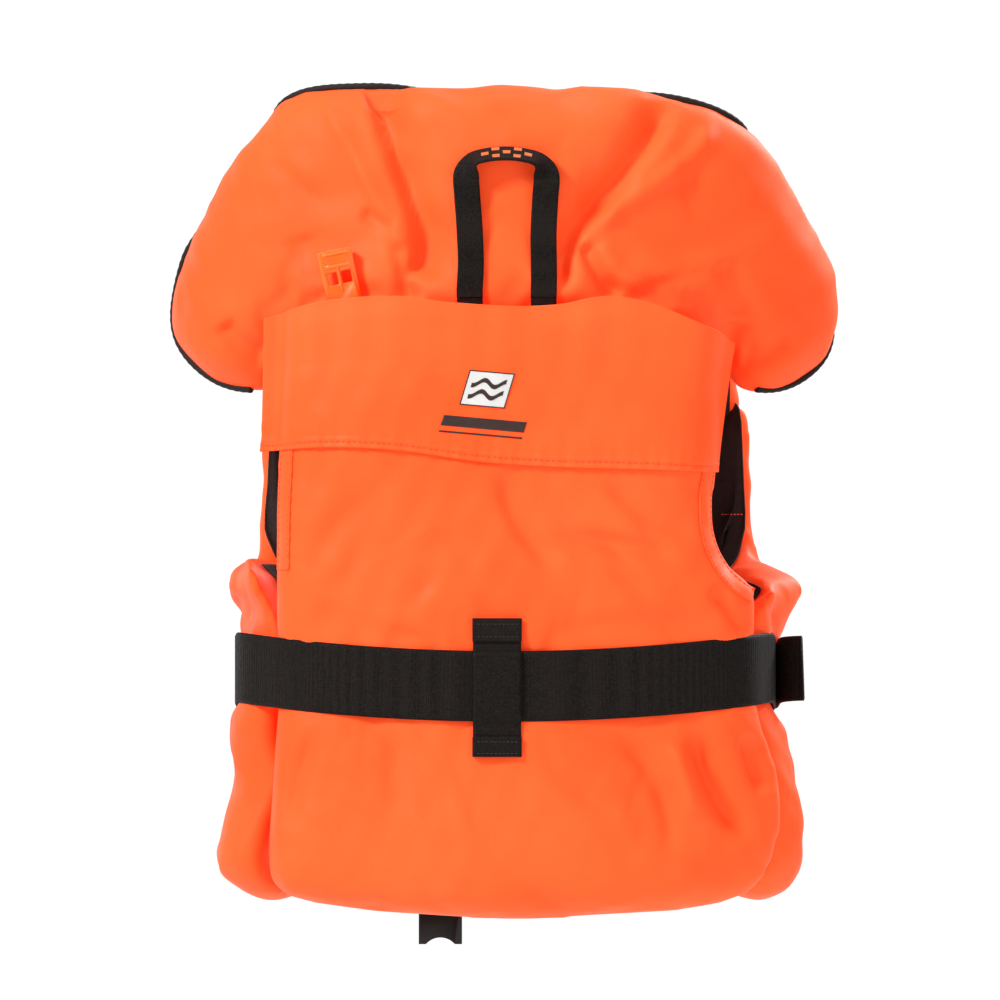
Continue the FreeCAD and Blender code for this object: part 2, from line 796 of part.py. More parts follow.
def make_zip(side, name):
    """One half of the zip: tape and a row of moulded teeth on its edge."""
    near = -size("front_face") - size("gap")
    far = near - size("tape_thick")
    low = size("zip_floor")
    edge = 2.9 * side
    outer = (2.9 + size("tape_width")) * side
    keep(box(f"zip_tape_{name}", (min(edge, outer), far, low), (max(edge, outer), near, zip_top() + 3.0)))

    body = add_body(f"zip_teeth_{name}")
    spine = mirrored([(2.0, low), (2.7, low), (2.7, zip_top()), (2.0, zip_top())], side)
    thick = "Sizes.tape_thick + 2"
    lift = "Sizes.front_face - 0.7"
    add_pad(body, add_sketch(body, "XZ_Plane", outline(spine), lift), thick)
    foot = size("zip_floor") + (0.3 if side > 0 else 0.3 + size("tooth_pitch") / 2)
    tooth = mirrored([(-1.6, foot), (2.3, foot), (2.3, foot + 1.4), (-1.6, foot + 1.4)], side)
    doc.recompute()
    pad = add_pad(body, add_sketch(body, "XZ_Plane", outline(tooth), lift), thick)
    doc.recompute()
    rows = body.newObject("PartDesign::LinearPattern", f"{body.Label}_rows")
    rows.Originals = [pad]
    axis = [item for item in body.Origin.OriginFeatures if item.Role == "Z_Axis"][0]
    rows.Direction = (axis, [""])
    rows.Mode = "Spacing"
    rows.setExpression("Offset", "Sizes.tooth_pitch")
    rows.setExpression("Occurrences", "Sizes.tooth_count")
    body.Tip = rows
    keep(body)


def make_zip_hardware():
    """Retainer box at the bottom, stops at the top, the slider and its pull."""
    near = -size("front_face")
    low = size("zip_floor")
    keep(box("zip_retainer", (-5.5, near - 4.4, low - 9.0), (5.5, near - 0.3, low - 0.4)))
    stops = [box(f"zip_stop_{word}", (min(side * 1.4, side * 5.0), near - 3.6, zip_top() + 3.3),
                 (max(side * 1.4, side * 5.0), near - 0.3, zip_top() + 6.3))
             for side, word in ((1, "left"), (-1, "right"))]
    stop_pair = fuse("zip_stops", *stops)
    keep(stop_pair)

    top = zip_top() + 1.0
    front = near - 3.0
    plate = box("slider_plate", (-5.0, front - 2.6, top - 13.0), (5.0, front, top))
    bridge = box("slider_bridge", (-1.3, front - 8.0, top - 13.0), (1.3, front - 2.6, top - 2.0))
    eye = box("slider_eye", (-2.0, front - 6.8, top - 11.4), (2.0, front - 2.7, top - 4.6))
    keep(cut("zip_slider", fuse("slider_blank", plate, bridge), eye))

    body = add_body("zip_pull")
    crown = top - 7.6
    add_pad(body, add_sketch(body, "XZ_Plane", outline([
        (-4.5, crown - 34.0), (0.0, crown - 36.0, "via"), (4.5, crown - 34.0), (4.0, crown - 12.0),
        (3.2, crown - 1.0), (0.0, crown, "via"), (-3.2, crown - 1.0), (-4.0, crown - 12.0),
    ]), f"{-front + 3.7}"), "1.8")
    cut_through(body, "XZ_Plane", outline([
        (-1.9, crown - 9.0), (1.9, crown - 9.0), (1.9, crown - 2.4), (-1.9, crown - 2.4)]))
    keep(body)


# ---------------------------------------------------------------- build and write
make_back()
make_yoke()
make_facing(1, "left_armhole_facing")
make_facing(-1, "right_armhole_facing")
for side, name in ((1, "left"), (-1, "right")):
    make_front(side, f"{name}_front")
    make_shoulder(side, f"{name}_shoulder")
    make_reflector(side, f"{name}_reflector")
    make_zip(side, name)
make_collar()
make_lifting_loop()
make_whistle()
make_belt()
make_belt_buckle()
make_crotch_buckle()
make_zip_hardware()

doc.recompute()
for item in doc.Objects:
    assert "Invalid" not in item.State and "Error" not in item.State, f"{item.Label}: {item.State}"
os.makedirs("parts", exist_ok=True)
for node in nodes:
    shape = node.Shape
    assert not shape.isNull() and shape.isValid(), f"{node.Label}: no valid shape"
    shape.exportStep(os.path.join("parts", f"{node.Label}.step"))
    extent = shape.BoundBox
    print(f"{node.Label}: solids {len(shape.Solids)}, x {extent.XMin:.1f} {extent.XMax:.1f}, "
          f"y {extent.YMin:.1f} {extent.YMax:.1f}, z {extent.ZMin:.1f} {extent.ZMax:.1f}, "
          f"volume {shape.Volume / 1000.0:.1f} cm3")
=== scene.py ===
"""Looks of a child's foam life jacket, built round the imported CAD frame.

Lengths inside the functions are millimetres in the row frame: +Z up, +Y the wearer's back, +X the
wearer's left. new_piece() turns them into metres.
"""
import math

import bmesh
import bpy
import numpy as np
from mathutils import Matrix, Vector
from mathutils.bvhtree import BVHTree


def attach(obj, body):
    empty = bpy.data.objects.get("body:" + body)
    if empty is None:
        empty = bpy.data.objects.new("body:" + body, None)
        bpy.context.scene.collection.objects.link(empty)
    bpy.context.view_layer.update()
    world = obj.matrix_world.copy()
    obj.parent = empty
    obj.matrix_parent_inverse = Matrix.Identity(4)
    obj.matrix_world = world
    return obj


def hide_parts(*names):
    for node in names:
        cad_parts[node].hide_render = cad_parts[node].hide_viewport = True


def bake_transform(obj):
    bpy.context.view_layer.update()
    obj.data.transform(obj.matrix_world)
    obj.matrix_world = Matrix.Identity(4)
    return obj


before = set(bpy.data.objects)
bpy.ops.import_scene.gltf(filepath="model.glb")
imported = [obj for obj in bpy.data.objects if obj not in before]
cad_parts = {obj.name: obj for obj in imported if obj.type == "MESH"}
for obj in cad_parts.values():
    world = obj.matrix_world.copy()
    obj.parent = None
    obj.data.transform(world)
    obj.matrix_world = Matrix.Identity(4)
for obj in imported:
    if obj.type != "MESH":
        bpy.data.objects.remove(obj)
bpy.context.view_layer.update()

MM = 0.001

# ---------------------------------------------------------------- sizes, in millimetres
BACK_FACE = 105.0
BACK_BEND = 660.0
FRONT_FACE = 105.0
SIDE_HALF = 165.0
CORNER = 90.0
PANEL_HALF = 20.0              # half the thickness of the foam panels
COLLAR_BEND = 250.0
COLLAR_HUB = -183.0            # centre of the collar's bend
COLLAR_SIDE = 190.5            # from the middle to the collar's side
BACK_TOP = 350.0
BELT_LEVEL = 141.0
BELT_WIDTH = 41.0
WEBBING = 2.0                  # thickness of the waist belt
YOKE_TALL = 92.0               # the yoke from hem to top edge
HEM_STITCH = 3.4               # the yoke's stitch line above its hem
FORWARD = (0.0, -1.0, 0.0)


# ---------------------------------------------------------------- curves and points
def curve_through(points, count=200, closed=False):
    """A smooth curve through a few points: centripetal Catmull-Rom, evenly resampled."""
    pts = np.array(points, float)
    if closed:
        pts = np.vstack([pts[-1], pts, pts[:2]])
    else:
        pts = np.vstack([2 * pts[0] - pts[1], pts, 2 * pts[-1] - pts[-2]])
    dense = []
    for i in range(1, len(pts) - 2):
        p0, p1, p2, p3 = pts[i - 1:i + 3]
        t1 = max(np.linalg.norm(p1 - p0), 1e-6) ** 0.5
        t2 = t1 + max(np.linalg.norm(p2 - p1), 1e-6) ** 0.5
        t3 = t2 + max(np.linalg.norm(p3 - p2), 1e-6) ** 0.5
        t = np.linspace(t1, t2, 40, endpoint=False)[:, None]
        a1 = (t1 - t) / t1 * p0 + t / t1 * p1
        a2 = (t2 - t) / (t2 - t1) * p1 + (t - t1) / (t2 - t1) * p2
        a3 = (t3 - t) / (t3 - t2) * p2 + (t - t2) / (t3 - t2) * p3
        b1 = (t2 - t) / t2 * a1 + t / t2 * a2
        b2 = (t3 - t) / (t3 - t1) * a2 + (t - t1) / (t3 - t1) * a3
        dense.append((t2 - t) / (t2 - t1) * b1 + (t - t1) / (t2 - t1) * b2)
    dense = np.vstack(dense + [pts[-2][None]])
    return resample(dense, count)


def distances(line):
    """How far along a line each of its points is."""
    return np.r_[0.0, np.cumsum(np.linalg.norm(np.diff(line, axis=0), axis=1))]


def resample(line, count):
    """The same line with evenly spaced points."""
    step = distances(line)
    at = np.linspace(0.0, step[-1], count)
    return np.stack([np.interp(at, step, line[:, k]) for k in range(line.shape[1])], 1)


def line_length(line):
    return float(np.linalg.norm(np.diff(line, axis=0), axis=1).sum())


def profile(points):
    """A smooth function through a few (at, value) points."""
    dense = curve_through(points, 400)
    order = np.argsort(dense[:, 0])
    return lambda at: np.interp(at, dense[order, 0], dense[order, 1])


def averaged(row, reach):
    """A running average over `reach` places each side."""
    width = 2 * reach + 1
    return np.convolve(np.pad(row, reach, mode="edge"), np.ones(width) / width, "valid")


def ease(value, low, high):
    """0 below low, 1 above high, a smooth step between."""
    t = np.clip((value - low) / (high - low), 0.0, 1.0)
    return t * t * (3.0 - 2.0 * t)


def hump(value, centre, width):
    """1 at the centre, falling smoothly to almost 0 two widths away."""
    return np.exp(-((value - centre) / width) ** 2)


def gap_to_line(points, line):
    """Distance of 2-D points to a polyline, the share along it and the side (+1 to its left)."""
    best = np.full(len(points), 1e9)
    share = np.zeros(len(points))
    side = np.ones(len(points))
    lengths = distances(line)
    for i in range(len(line) - 1):
        a, b = line[i], line[i + 1]
        run = b - a
        size = max(float(run @ run), 1e-9)
        t = np.clip(((points - a) @ run) / size, 0.0, 1.0)
        off = points - (a + t[:, None] * run)
        dist = np.hypot(off[:, 0], off[:, 1])
        near = dist < best
        best[near] = dist[near]
        share[near] = (lengths[i] + t[near] * math.sqrt(size)) / lengths[-1]
        turn = run[0] * off[:, 1] - run[1] * off[:, 0]
        side[near] = np.where(turn[near] >= 0, 1.0, -1.0)
    return best, share, side


def dots(first, second):
    """The dot product of two lists of vectors, row by row."""
    return np.einsum("ij,ij->i", first, second)


def unit(rows):
    return rows / np.maximum(np.linalg.norm(rows, axis=-1, keepdims=True), 1e-9)


def soft_noise(points, scale, seed):
    """Smooth noise from a few sines with seeded directions, about -1 to 1."""
    waves = np.random.default_rng(seed)
    total = np.zeros(len(points))
    for _ in range(7):
        way = unit(waves.normal(size=3)[None])[0]
        pitch = scale * waves.uniform(0.7, 1.6)
        total += np.sin(points @ way * 2 * math.pi / pitch + waves.uniform(0, 6.28))
    return total / 3.2


# ---------------------------------------------------------------- meshes
def add_object(name, data):
    """A new object in the scene."""
    obj = bpy.data.objects.new(name, data)
    bpy.context.scene.collection.objects.link(obj)
    return obj


def new_piece(name, verts, faces, material, body, replaces=(), slot=None, smooth=True):
    """A mesh piece from points in millimetres; it rides on a body."""
    mesh = bpy.data.meshes.new(name)
    mesh.from_pydata([tuple(v) for v in np.asarray(verts, float) * MM], [], faces)
    mesh.validate()
    obj = add_object(name, mesh)
    finish_piece(obj, material, body, replaces, smooth)
    return obj


def finish_piece(obj, material, body, replaces=(), smooth=True):
    obj.data.polygons.foreach_set("use_smooth", [smooth] * len(obj.data.polygons))
    if material is not None:
        obj.data.materials.clear()
        obj.data.materials.append(material)
    if body is not None:
        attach(obj, body)
    if replaces:
        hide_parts(*replaces)


def grid_faces(rows, cols, start=0, close_rows=False, close_cols=False, flip=False):
    faces = []
    for i in range(rows if close_rows else rows - 1):
        for j in range(cols if close_cols else cols - 1):
            a = start + i * cols + j
            b = start + i * cols + (j + 1) % cols
            c = start + ((i + 1) % rows) * cols + (j + 1) % cols
            d = start + ((i + 1) % rows) * cols + j
            faces.append((a, d, c, b) if flip else (a, b, c, d))
    return faces


def face_out(mesh, merge=None):
    """Turns every face outwards, after merging doubled points when `merge` is given."""
    work = bmesh.new()
    work.from_mesh(mesh)
    if merge is not None:
        bmesh.ops.remove_doubles(work, verts=work.verts, dist=merge * MM)
        bmesh.ops.dissolve_degenerate(work, edges=work.edges, dist=merge * MM)
    bmesh.ops.recalc_face_normals(work, faces=work.faces)
    work.to_mesh(mesh)
    work.free()


def vertex_rows(obj, field):
    rows = np.empty(len(obj.data.vertices) * 3, np.float32)
    obj.data.vertices.foreach_get(field, rows)
    return rows.reshape(-1, 3).astype(float)


def points_of(obj):
    return vertex_rows(obj, "co") / MM


def normals_of(obj):
    return vertex_rows(obj, "normal")


def set_points(obj, points):
    obj.data.vertices.foreach_set("co", (points * MM).astype(np.float32).ravel())
    obj.data.update()


def apply_modifiers(obj):
    view = bpy.context.evaluated_depsgraph_get()
    mesh = bpy.data.meshes.new_from_object(obj.evaluated_get(view))
    old = obj.data
    obj.modifiers.clear()
    obj.data = mesh
    bpy.data.meshes.remove(old)


def smooth_points(obj, rounds, amount=0.5, mask=None):
    """Plain Laplacian smoothing over the mesh's edges."""
    edges = np.empty(len(obj.data.edges) * 2, np.int32)
    obj.data.edges.foreach_get("vertices", edges)
    edges = edges.reshape(-1, 2)
    points = points_of(obj)
    degree = np.bincount(edges.ravel(), minlength=len(points))[:, None]
    for _ in range(rounds):
        total = np.zeros_like(points)
        np.add.at(total, edges[:, 0], points[edges[:, 1]])
        np.add.at(total, edges[:, 1], points[edges[:, 0]])
        shift = (total / np.maximum(degree, 1) - points) * amount
        points += shift if mask is None else shift * mask[:, None]
    set_points(obj, points)


# ---------------------------------------------------------------- pillows
def rounded(gap, wide):
    """A quarter circle's rise: 0 at the seam, 1 once the gap from it is `wide`."""
    return np.sqrt(np.clip(1.0 - (1.0 - np.clip(gap / wide, 0, 1)) ** 2, 0, 1))


def pillow(name, low, high, first, last, place, outer, inner, edge, cols=90, rows=60, lined=None):
    """A closed crowned pad between two curves; place(u, v) gives its middle point and outward way.

    outer and inner are the half thicknesses each side of the seam, edge(u, v) how far in from the
    seam the pad is still rising; `lined` is that distance on the wearer's side when it differs.
    """
    s = np.linspace(-1.0, 1.0, cols)
    u = (first + last) / 2 + (last - first) / 2 * np.sin(s * math.pi / 2)
    t = (1.0 - np.cos(np.linspace(0.0, math.pi, rows))) / 2
    floor, top = low(u), high(u)
    grid_u = np.repeat(u[:, None], rows, 1)
    grid_v = floor[:, None] + (top - floor)[:, None] * t[None]
    rim_u = np.linspace(first, last, 500)
    rim = np.vstack([np.stack([rim_u, low(rim_u)], 1), np.stack([rim_u, high(rim_u)], 1)[::-1]])
    rim = resample(np.vstack([rim, rim[:1]]), 420)
    flat = np.stack([grid_u.ravel(), grid_v.ravel()], 1)
    gap = gap_to_line(flat, rim)[0]
    wide = edge(flat[:, 0], flat[:, 1]) if callable(edge) else edge
    crown = rounded(gap, wide)
    flank = crown if lined is None else rounded(gap, lined)
    middle, way = place(flat[:, 0], flat[:, 1])
    front = middle + way * (outer(flat[:, 0], flat[:, 1]) * crown)[:, None]
    behind = middle - way * (inner(flat[:, 0], flat[:, 1]) * flank)[:, None]
    count = len(flat)
    faces = grid_faces(cols, rows) + grid_faces(cols, rows, count, flip=True)
    obj = new_piece(name, np.vstack([front, behind]), faces, None, None)
    face_out(obj.data, 0.4)
    return obj


def puff(obj, growth=0.03, cap=7.0, pressure=4.0, voxel=5.0, hold=None, frames=20):
    """Remesh, blow up as cloth, cap how far a point moves, apply and subdivide once."""
    remesh = obj.modifiers.new("remesh", "REMESH")
    remesh.mode = "VOXEL"
    remesh.voxel_size = voxel * MM
    remesh.use_smooth_shade = True
    apply_modifiers(obj)
    smooth_points(obj, 2, 0.5)
    rest = points_of(obj)
    if hold is not None:
        group = obj.vertex_groups.new(name="held")
        for index in np.nonzero(hold(rest))[0]:
            group.add([int(index)], 1.0, "REPLACE")
    cloth = obj.modifiers.new("cloth", "CLOTH")
    cloth.settings.use_pressure = True
    cloth.settings.uniform_pressure_force = pressure
    cloth.settings.shrink_min = -growth
    cloth.settings.quality = 6
    cloth.settings.mass = 0.25
    cloth.settings.bending_stiffness = 0.4
    cloth.settings.air_damping = 2.0
    cloth.settings.effector_weights.gravity = 0.0
    if hold is not None:
        cloth.settings.vertex_group_mass = "held"
    scene = bpy.context.scene
    cloth.point_cache.frame_start = 1
    cloth.point_cache.frame_end = frames
    for number in range(1, frames + 1):
        scene.frame_set(number)
    view = bpy.context.evaluated_depsgraph_get()
    moved = points_of(obj.evaluated_get(view))
    obj.modifiers.clear()
    scene.frame_set(1)
    shift = moved - rest
    far = np.linalg.norm(shift, axis=1)
    limit = cap * np.tanh(far / cap) / np.maximum(far, 1e-6)
    set_points(obj, rest + shift * limit[:, None])
    subdivide(obj)
    return obj


def subdivide(obj, levels=1):
    sub = obj.modifiers.new("sub", "SUBSURF")
    sub.levels = levels
    sub.render_levels = levels
    apply_modifiers(obj)
    obj.data.polygons.foreach_set("use_smooth", [True] * len(obj.data.polygons))


def fold(points, normals, flat, line, depth, near, far, fade=0.15, facing=None):
    """Pushes points in (depth > 0) along a line; near is its width on the left, far on the right."""
    gap, share, side = gap_to_line(flat, line)
    width = np.where(side > 0, near, far)
    strength = np.exp(-(gap / width) ** 2)
    strength *= ease(share, 0.0, fade) * (1.0 - ease(share, 1.0 - fade, 1.0))
    if facing is not None:
        strength *= facing
    return points - normals * (depth * strength)[:, None]


def fold_each(points, normals, flat, folds, scale, fade, facing, count=40):
    """Presses a list of (line, depth, near, far) folds; scale multiplies the last three."""
    for line, depth, near, far in folds:
        points = fold(points, normals, flat, curve_through(line, count), depth * scale[0],
                      near * scale[1], far * scale[2], fade, facing)
    return points


def creases(points, normals, flat, seed, count, spread, flow, facing, size=1.0):
    """Short sharp wrinkles scattered over a panel, along the directions flow(x, z) gives."""
    dice = np.random.default_rng(seed)
    for _ in range(count):
        x = dice.uniform(*spread[0])
        z = dice.uniform(*spread[1])
        turn = flow(x, z) + dice.normal(0.0, 0.28)
        reach = dice.uniform(12.0, 38.0)
        bow = dice.normal(0.0, 3.5)
        ahead = np.array([math.cos(turn), math.sin(turn)])
        aside = np.array([-ahead[1], ahead[0]])
        middle = np.array([x, z])
        line = [middle - ahead * reach, middle + aside * bow, middle + ahead * reach]
        depth = size * dice.uniform(0.45, 1.25) * (1.0 if dice.random() < 0.72 else -0.7)
        sharp = dice.uniform(3.0, 4.4)
        wide = dice.uniform(6.0, 11.0)
        if dice.random() < 0.5:
            sharp, wide = wide, sharp
        points = fold(points, normals, flat, curve_through(line, 14), depth, sharp, wide, 0.4, facing)
    return points


def tree_of(*objs):
    """A ray tree, in millimetres, over the meshes of one or more pieces."""
    verts, polys, start = [], [], 0
    for obj in objs:
        pts = points_of(obj)
        verts.append(pts)
        polys += [tuple(start + v for v in p.vertices) for p in obj.data.polygons]
        start += len(pts)
    return BVHTree.FromPolygons([Vector(v) for v in np.vstack(verts)], polys)


def land(tree, points, way, reach=80.0):
    """Drops points onto a surface against `way`; misses come back as NaN rows."""
    out = np.full_like(points, np.nan)
    for i, (point, up) in enumerate(zip(points, way)):
        start = Vector(point + up * reach)
        hit = tree.ray_cast(start, Vector(-up), reach * 2.2)[0]
        if hit is not None:
            out[i] = hit
    return out


def heights(tree, base, way, missed):
    """The y of the points where a column of rays lands, its gaps filled."""
    hit = land(tree, base, way)
    return fill_gaps(hit[:, 1][None, :].copy(), missed)[0]


def patch(name, low, high, first, last, place, tree, lift, thick, material, body, cols=60, rows=24,
          relief=None, fallback=0.0, smooth_rounds=2, hangs=None, **kind):
    """A cloth patch laid on a surface; past the share `hangs` of its height it stands straight up."""
    u = np.linspace(first, last, cols)
    t = np.linspace(0.0, 1.0, rows)
    floor, top = low(u), high(u)
    grid_u = np.repeat(u[:, None], rows, 1).ravel()
    grid_v = (floor[:, None] + (top - floor)[:, None] * t[None]).ravel()
    base, way = place(grid_u, grid_v)
    hit = land(tree, base, way)
    height = dots(hit - base, way)
    height = np.where(np.isnan(height), np.nan, height).reshape(cols, rows)
    height = fill_gaps(height, fallback)
    for _ in range(smooth_rounds):
        pad = np.pad(height, 1, mode="edge")
        height = (pad[:-2, 1:-1] + pad[2:, 1:-1] + pad[1:-1, :-2] + pad[1:-1, 2:] + 2 * height) / 6
    if hangs is not None:
        height = np.where(t[None] > hangs, height[:, [int(hangs * (rows - 1))]], height)
    height = height.ravel() + lift
    if relief is not None:
        height = height + relief(grid_u, grid_v)
    far = base + way * (height + thick)[:, None]
    near = base + way * height[:, None]
    return doubled(name, far, near, cols, rows, material, body, **kind)


def fill_gaps(height, fallback):
    """Fills missed places from the nearest ones in the same column or row."""
    for axis in (1, 0):
        rows = height if axis == 1 else height.T
        for row in rows:
            good = ~np.isnan(row)
            if good.any() and not good.all():
                at = np.arange(len(row))
                row[~good] = np.interp(at[~good], at[good], row[good])
    return np.where(np.isnan(height), fallback, height)


def doubled(name, far, near, cols, rows, material, body, **kind):
    """A thin closed shell from two grids of points, its rim folded over."""
    count = cols * rows
    faces = grid_faces(cols, rows, flip=True) + grid_faces(cols, rows, count)
    rim = [i * rows for i in range(cols)]
    rim += [(cols - 1) * rows + j for j in range(1, rows)]
    rim += [i * rows + rows - 1 for i in range(cols - 2, -1, -1)]
    rim += list(range(rows - 2, 0, -1))
    for a, b in zip(rim, rim[1:] + rim[:1]):
        faces.append((a, b, count + b, count + a))
    obj = new_piece(name, np.vstack([far, near]), faces, material, body, **kind)
    face_out(obj.data)
    return obj


def tube(name, line, radius, material, body, sides=10, twist=None, closed=False, **kind):
    """A round cord along a line; twist(i, angle) may vary its radius."""
    line = np.asarray(line, float)
    count = len(line)
    ahead = np.roll(line, -1, 0) - np.roll(line, 1, 0)
    if not closed:
        ahead[0] = line[1] - line[0]
        ahead[-1] = line[-1] - line[-2]
    ahead = unit(ahead)
    up = np.array([0.0, 0.0, 1.0])
    if abs(ahead[0] @ up) > 0.9:
        up = np.array([0.0, 1.0, 0.0])
    verts = []
    normal = unit((up - ahead[0] * (up @ ahead[0]))[None])[0]
    for i in range(count):
        normal = normal - ahead[i] * (normal @ ahead[i])
        normal = normal / max(np.linalg.norm(normal), 1e-9)
        across = np.cross(ahead[i], normal)
        for k in range(sides):
            angle = 2 * math.pi * k / sides
            size = radius * (1.0 if twist is None else twist(i, angle))
            verts.append(line[i] + (normal * math.cos(angle) + across * math.sin(angle)) * size)
    faces = grid_faces(count, sides, close_rows=closed, close_cols=True)
    if not closed:
        faces.append(tuple(range(sides - 1, -1, -1)))
        faces.append(tuple((count - 1) * sides + k for k in range(sides)))
    return new_piece(name, verts, faces, material, body, **kind)


def ribbon(name, line, across, outward, width, thick, material, body, ribs=None, sides_scallop=0.0,
           cross=14, **kind):
    """Flat webbing swept along a line: ribs(i, s) lifts its faces, its edges are rounded."""
    line = np.asarray(line, float)
    count = len(line)
    verts = []
    share = np.linspace(-1.0, 1.0, cross)
    for i in range(count):
        half = (width[i] if hasattr(width, "__len__") else width) / 2
        wobble = sides_scallop * (1.0 if i % 4 < 2 else 0.0)
        for face in (1.0, -1.0):
            for s in (share if face > 0 else share[::-1]):
                round_off = math.sqrt(max(0.0, 1.0 - max(0.0, (abs(s) - 0.94) / 0.06) ** 2))
                lift = thick / 2 * (0.35 + 0.65 * round_off)
                if ribs is not None:
                    lift += ribs(i, s) * round_off
                verts.append(line[i] + across[i] * s * (half - wobble * (abs(s) > 0.97))
                             + outward[i] * face * lift)
    loop = 2 * cross
    faces = grid_faces(count, loop, close_cols=True)
    faces.append(tuple(range(loop - 1, -1, -1)))
    faces.append(tuple((count - 1) * loop + k for k in range(loop)))
    obj = new_piece(name, verts, faces, material, body, **kind)
    face_out(obj.data)
    return obj


def stitches(name, line, up, material, body, long=2.3, gap=1.1, radius=0.27, **kind):
    """A row of sewn stitches on a surface: short sunk threads along a line."""
    line = np.asarray(line, float)
    total = line_length(line)
    count = max(2, int(total / (long + gap)))
    step = distances(line)

    def at(dist):
        return np.array([np.interp(dist, step, line[:, k]) for k in range(3)])

    def up_at(dist):
        return unit(np.array([np.interp(dist, step, up[:, k]) for k in range(3)])[None])[0]

    verts, faces = [], []
    for n in range(count):
        start = n * total / count
        ahead = at(start + long) - at(start)
        ahead = ahead / max(np.linalg.norm(ahead), 1e-9)
        sides = 6
        base = len(verts)
        for share, size, sink in ((0.0, 0.45, -0.25), (0.18, 1.0, 0.12), (0.82, 1.0, 0.12),
                                  (1.0, 0.45, -0.25)):
            dist = start + long * share
            normal = up_at(dist)
            across = np.cross(ahead, normal)
            centre = at(dist) + normal * sink
            for k in range(sides):
                angle = 2 * math.pi * k / sides
                verts.append(centre + (normal * math.cos(angle) + across * math.sin(angle)) * radius * size)
        faces += grid_faces(4, sides, base, close_cols=True)
        faces.append(tuple(base + k for k in range(sides - 1, -1, -1)))
        faces.append(tuple(base + 3 * sides + k for k in range(sides)))
    return new_piece(name, verts, faces, material, body, **kind)


def softened(node, name, radius, segments, material, body, carve=None):
    """A CAD node's own shape with its edges rounded.

    carve=((x, z), radius), in metres, scoops a round bite out of it along Y.
    """
    source = bpy.data.objects[node]
    obj = add_object(name, source.data.copy())
    obj.matrix_world = source.matrix_world
    work = bmesh.new()
    work.from_mesh(obj.data)
    bmesh.ops.remove_doubles(work, verts=work.verts, dist=1e-6)
    bmesh.ops.dissolve_limit(work, angle_limit=math.radians(1.0), verts=work.verts, edges=work.edges)
    work.to_mesh(obj.data)
    work.free()
    if carve is not None:
        (x, z), scoop = carve
        sides = 48
        angles = np.linspace(0.0, 2 * math.pi, sides, endpoint=False)
        verts = [(x + scoop * math.cos(a), y, z + scoop * math.sin(a))
                 for y in (-0.12, -0.05) for a in angles]
        faces = grid_faces(2, sides, close_cols=True)
        faces += [tuple(range(sides - 1, -1, -1)), tuple(range(sides, 2 * sides))]
        mesh = bpy.data.meshes.new("cutter")
        mesh.from_pydata(verts, [], faces)
        cutter = add_object("cutter", mesh)
        face_out(mesh)
        cut = obj.modifiers.new("cut", "BOOLEAN")
        cut.operation = "DIFFERENCE"
        cut.solver = "EXACT"
        cut.object = cutter
        apply_modifiers(obj)
        bpy.data.objects.remove(cutter)
    bevel = obj.modifiers.new("bevel", "BEVEL")
    bevel.width = radius * MM
    bevel.segments = segments
    bevel.limit_method = "ANGLE"
    bevel.angle_limit = math.radians(35)
    bevel.use_clamp_overlap = True
    bevel.harden_normals = True
    apply_modifiers(obj)
    finish_piece(obj, material, body, (node,))
    return obj


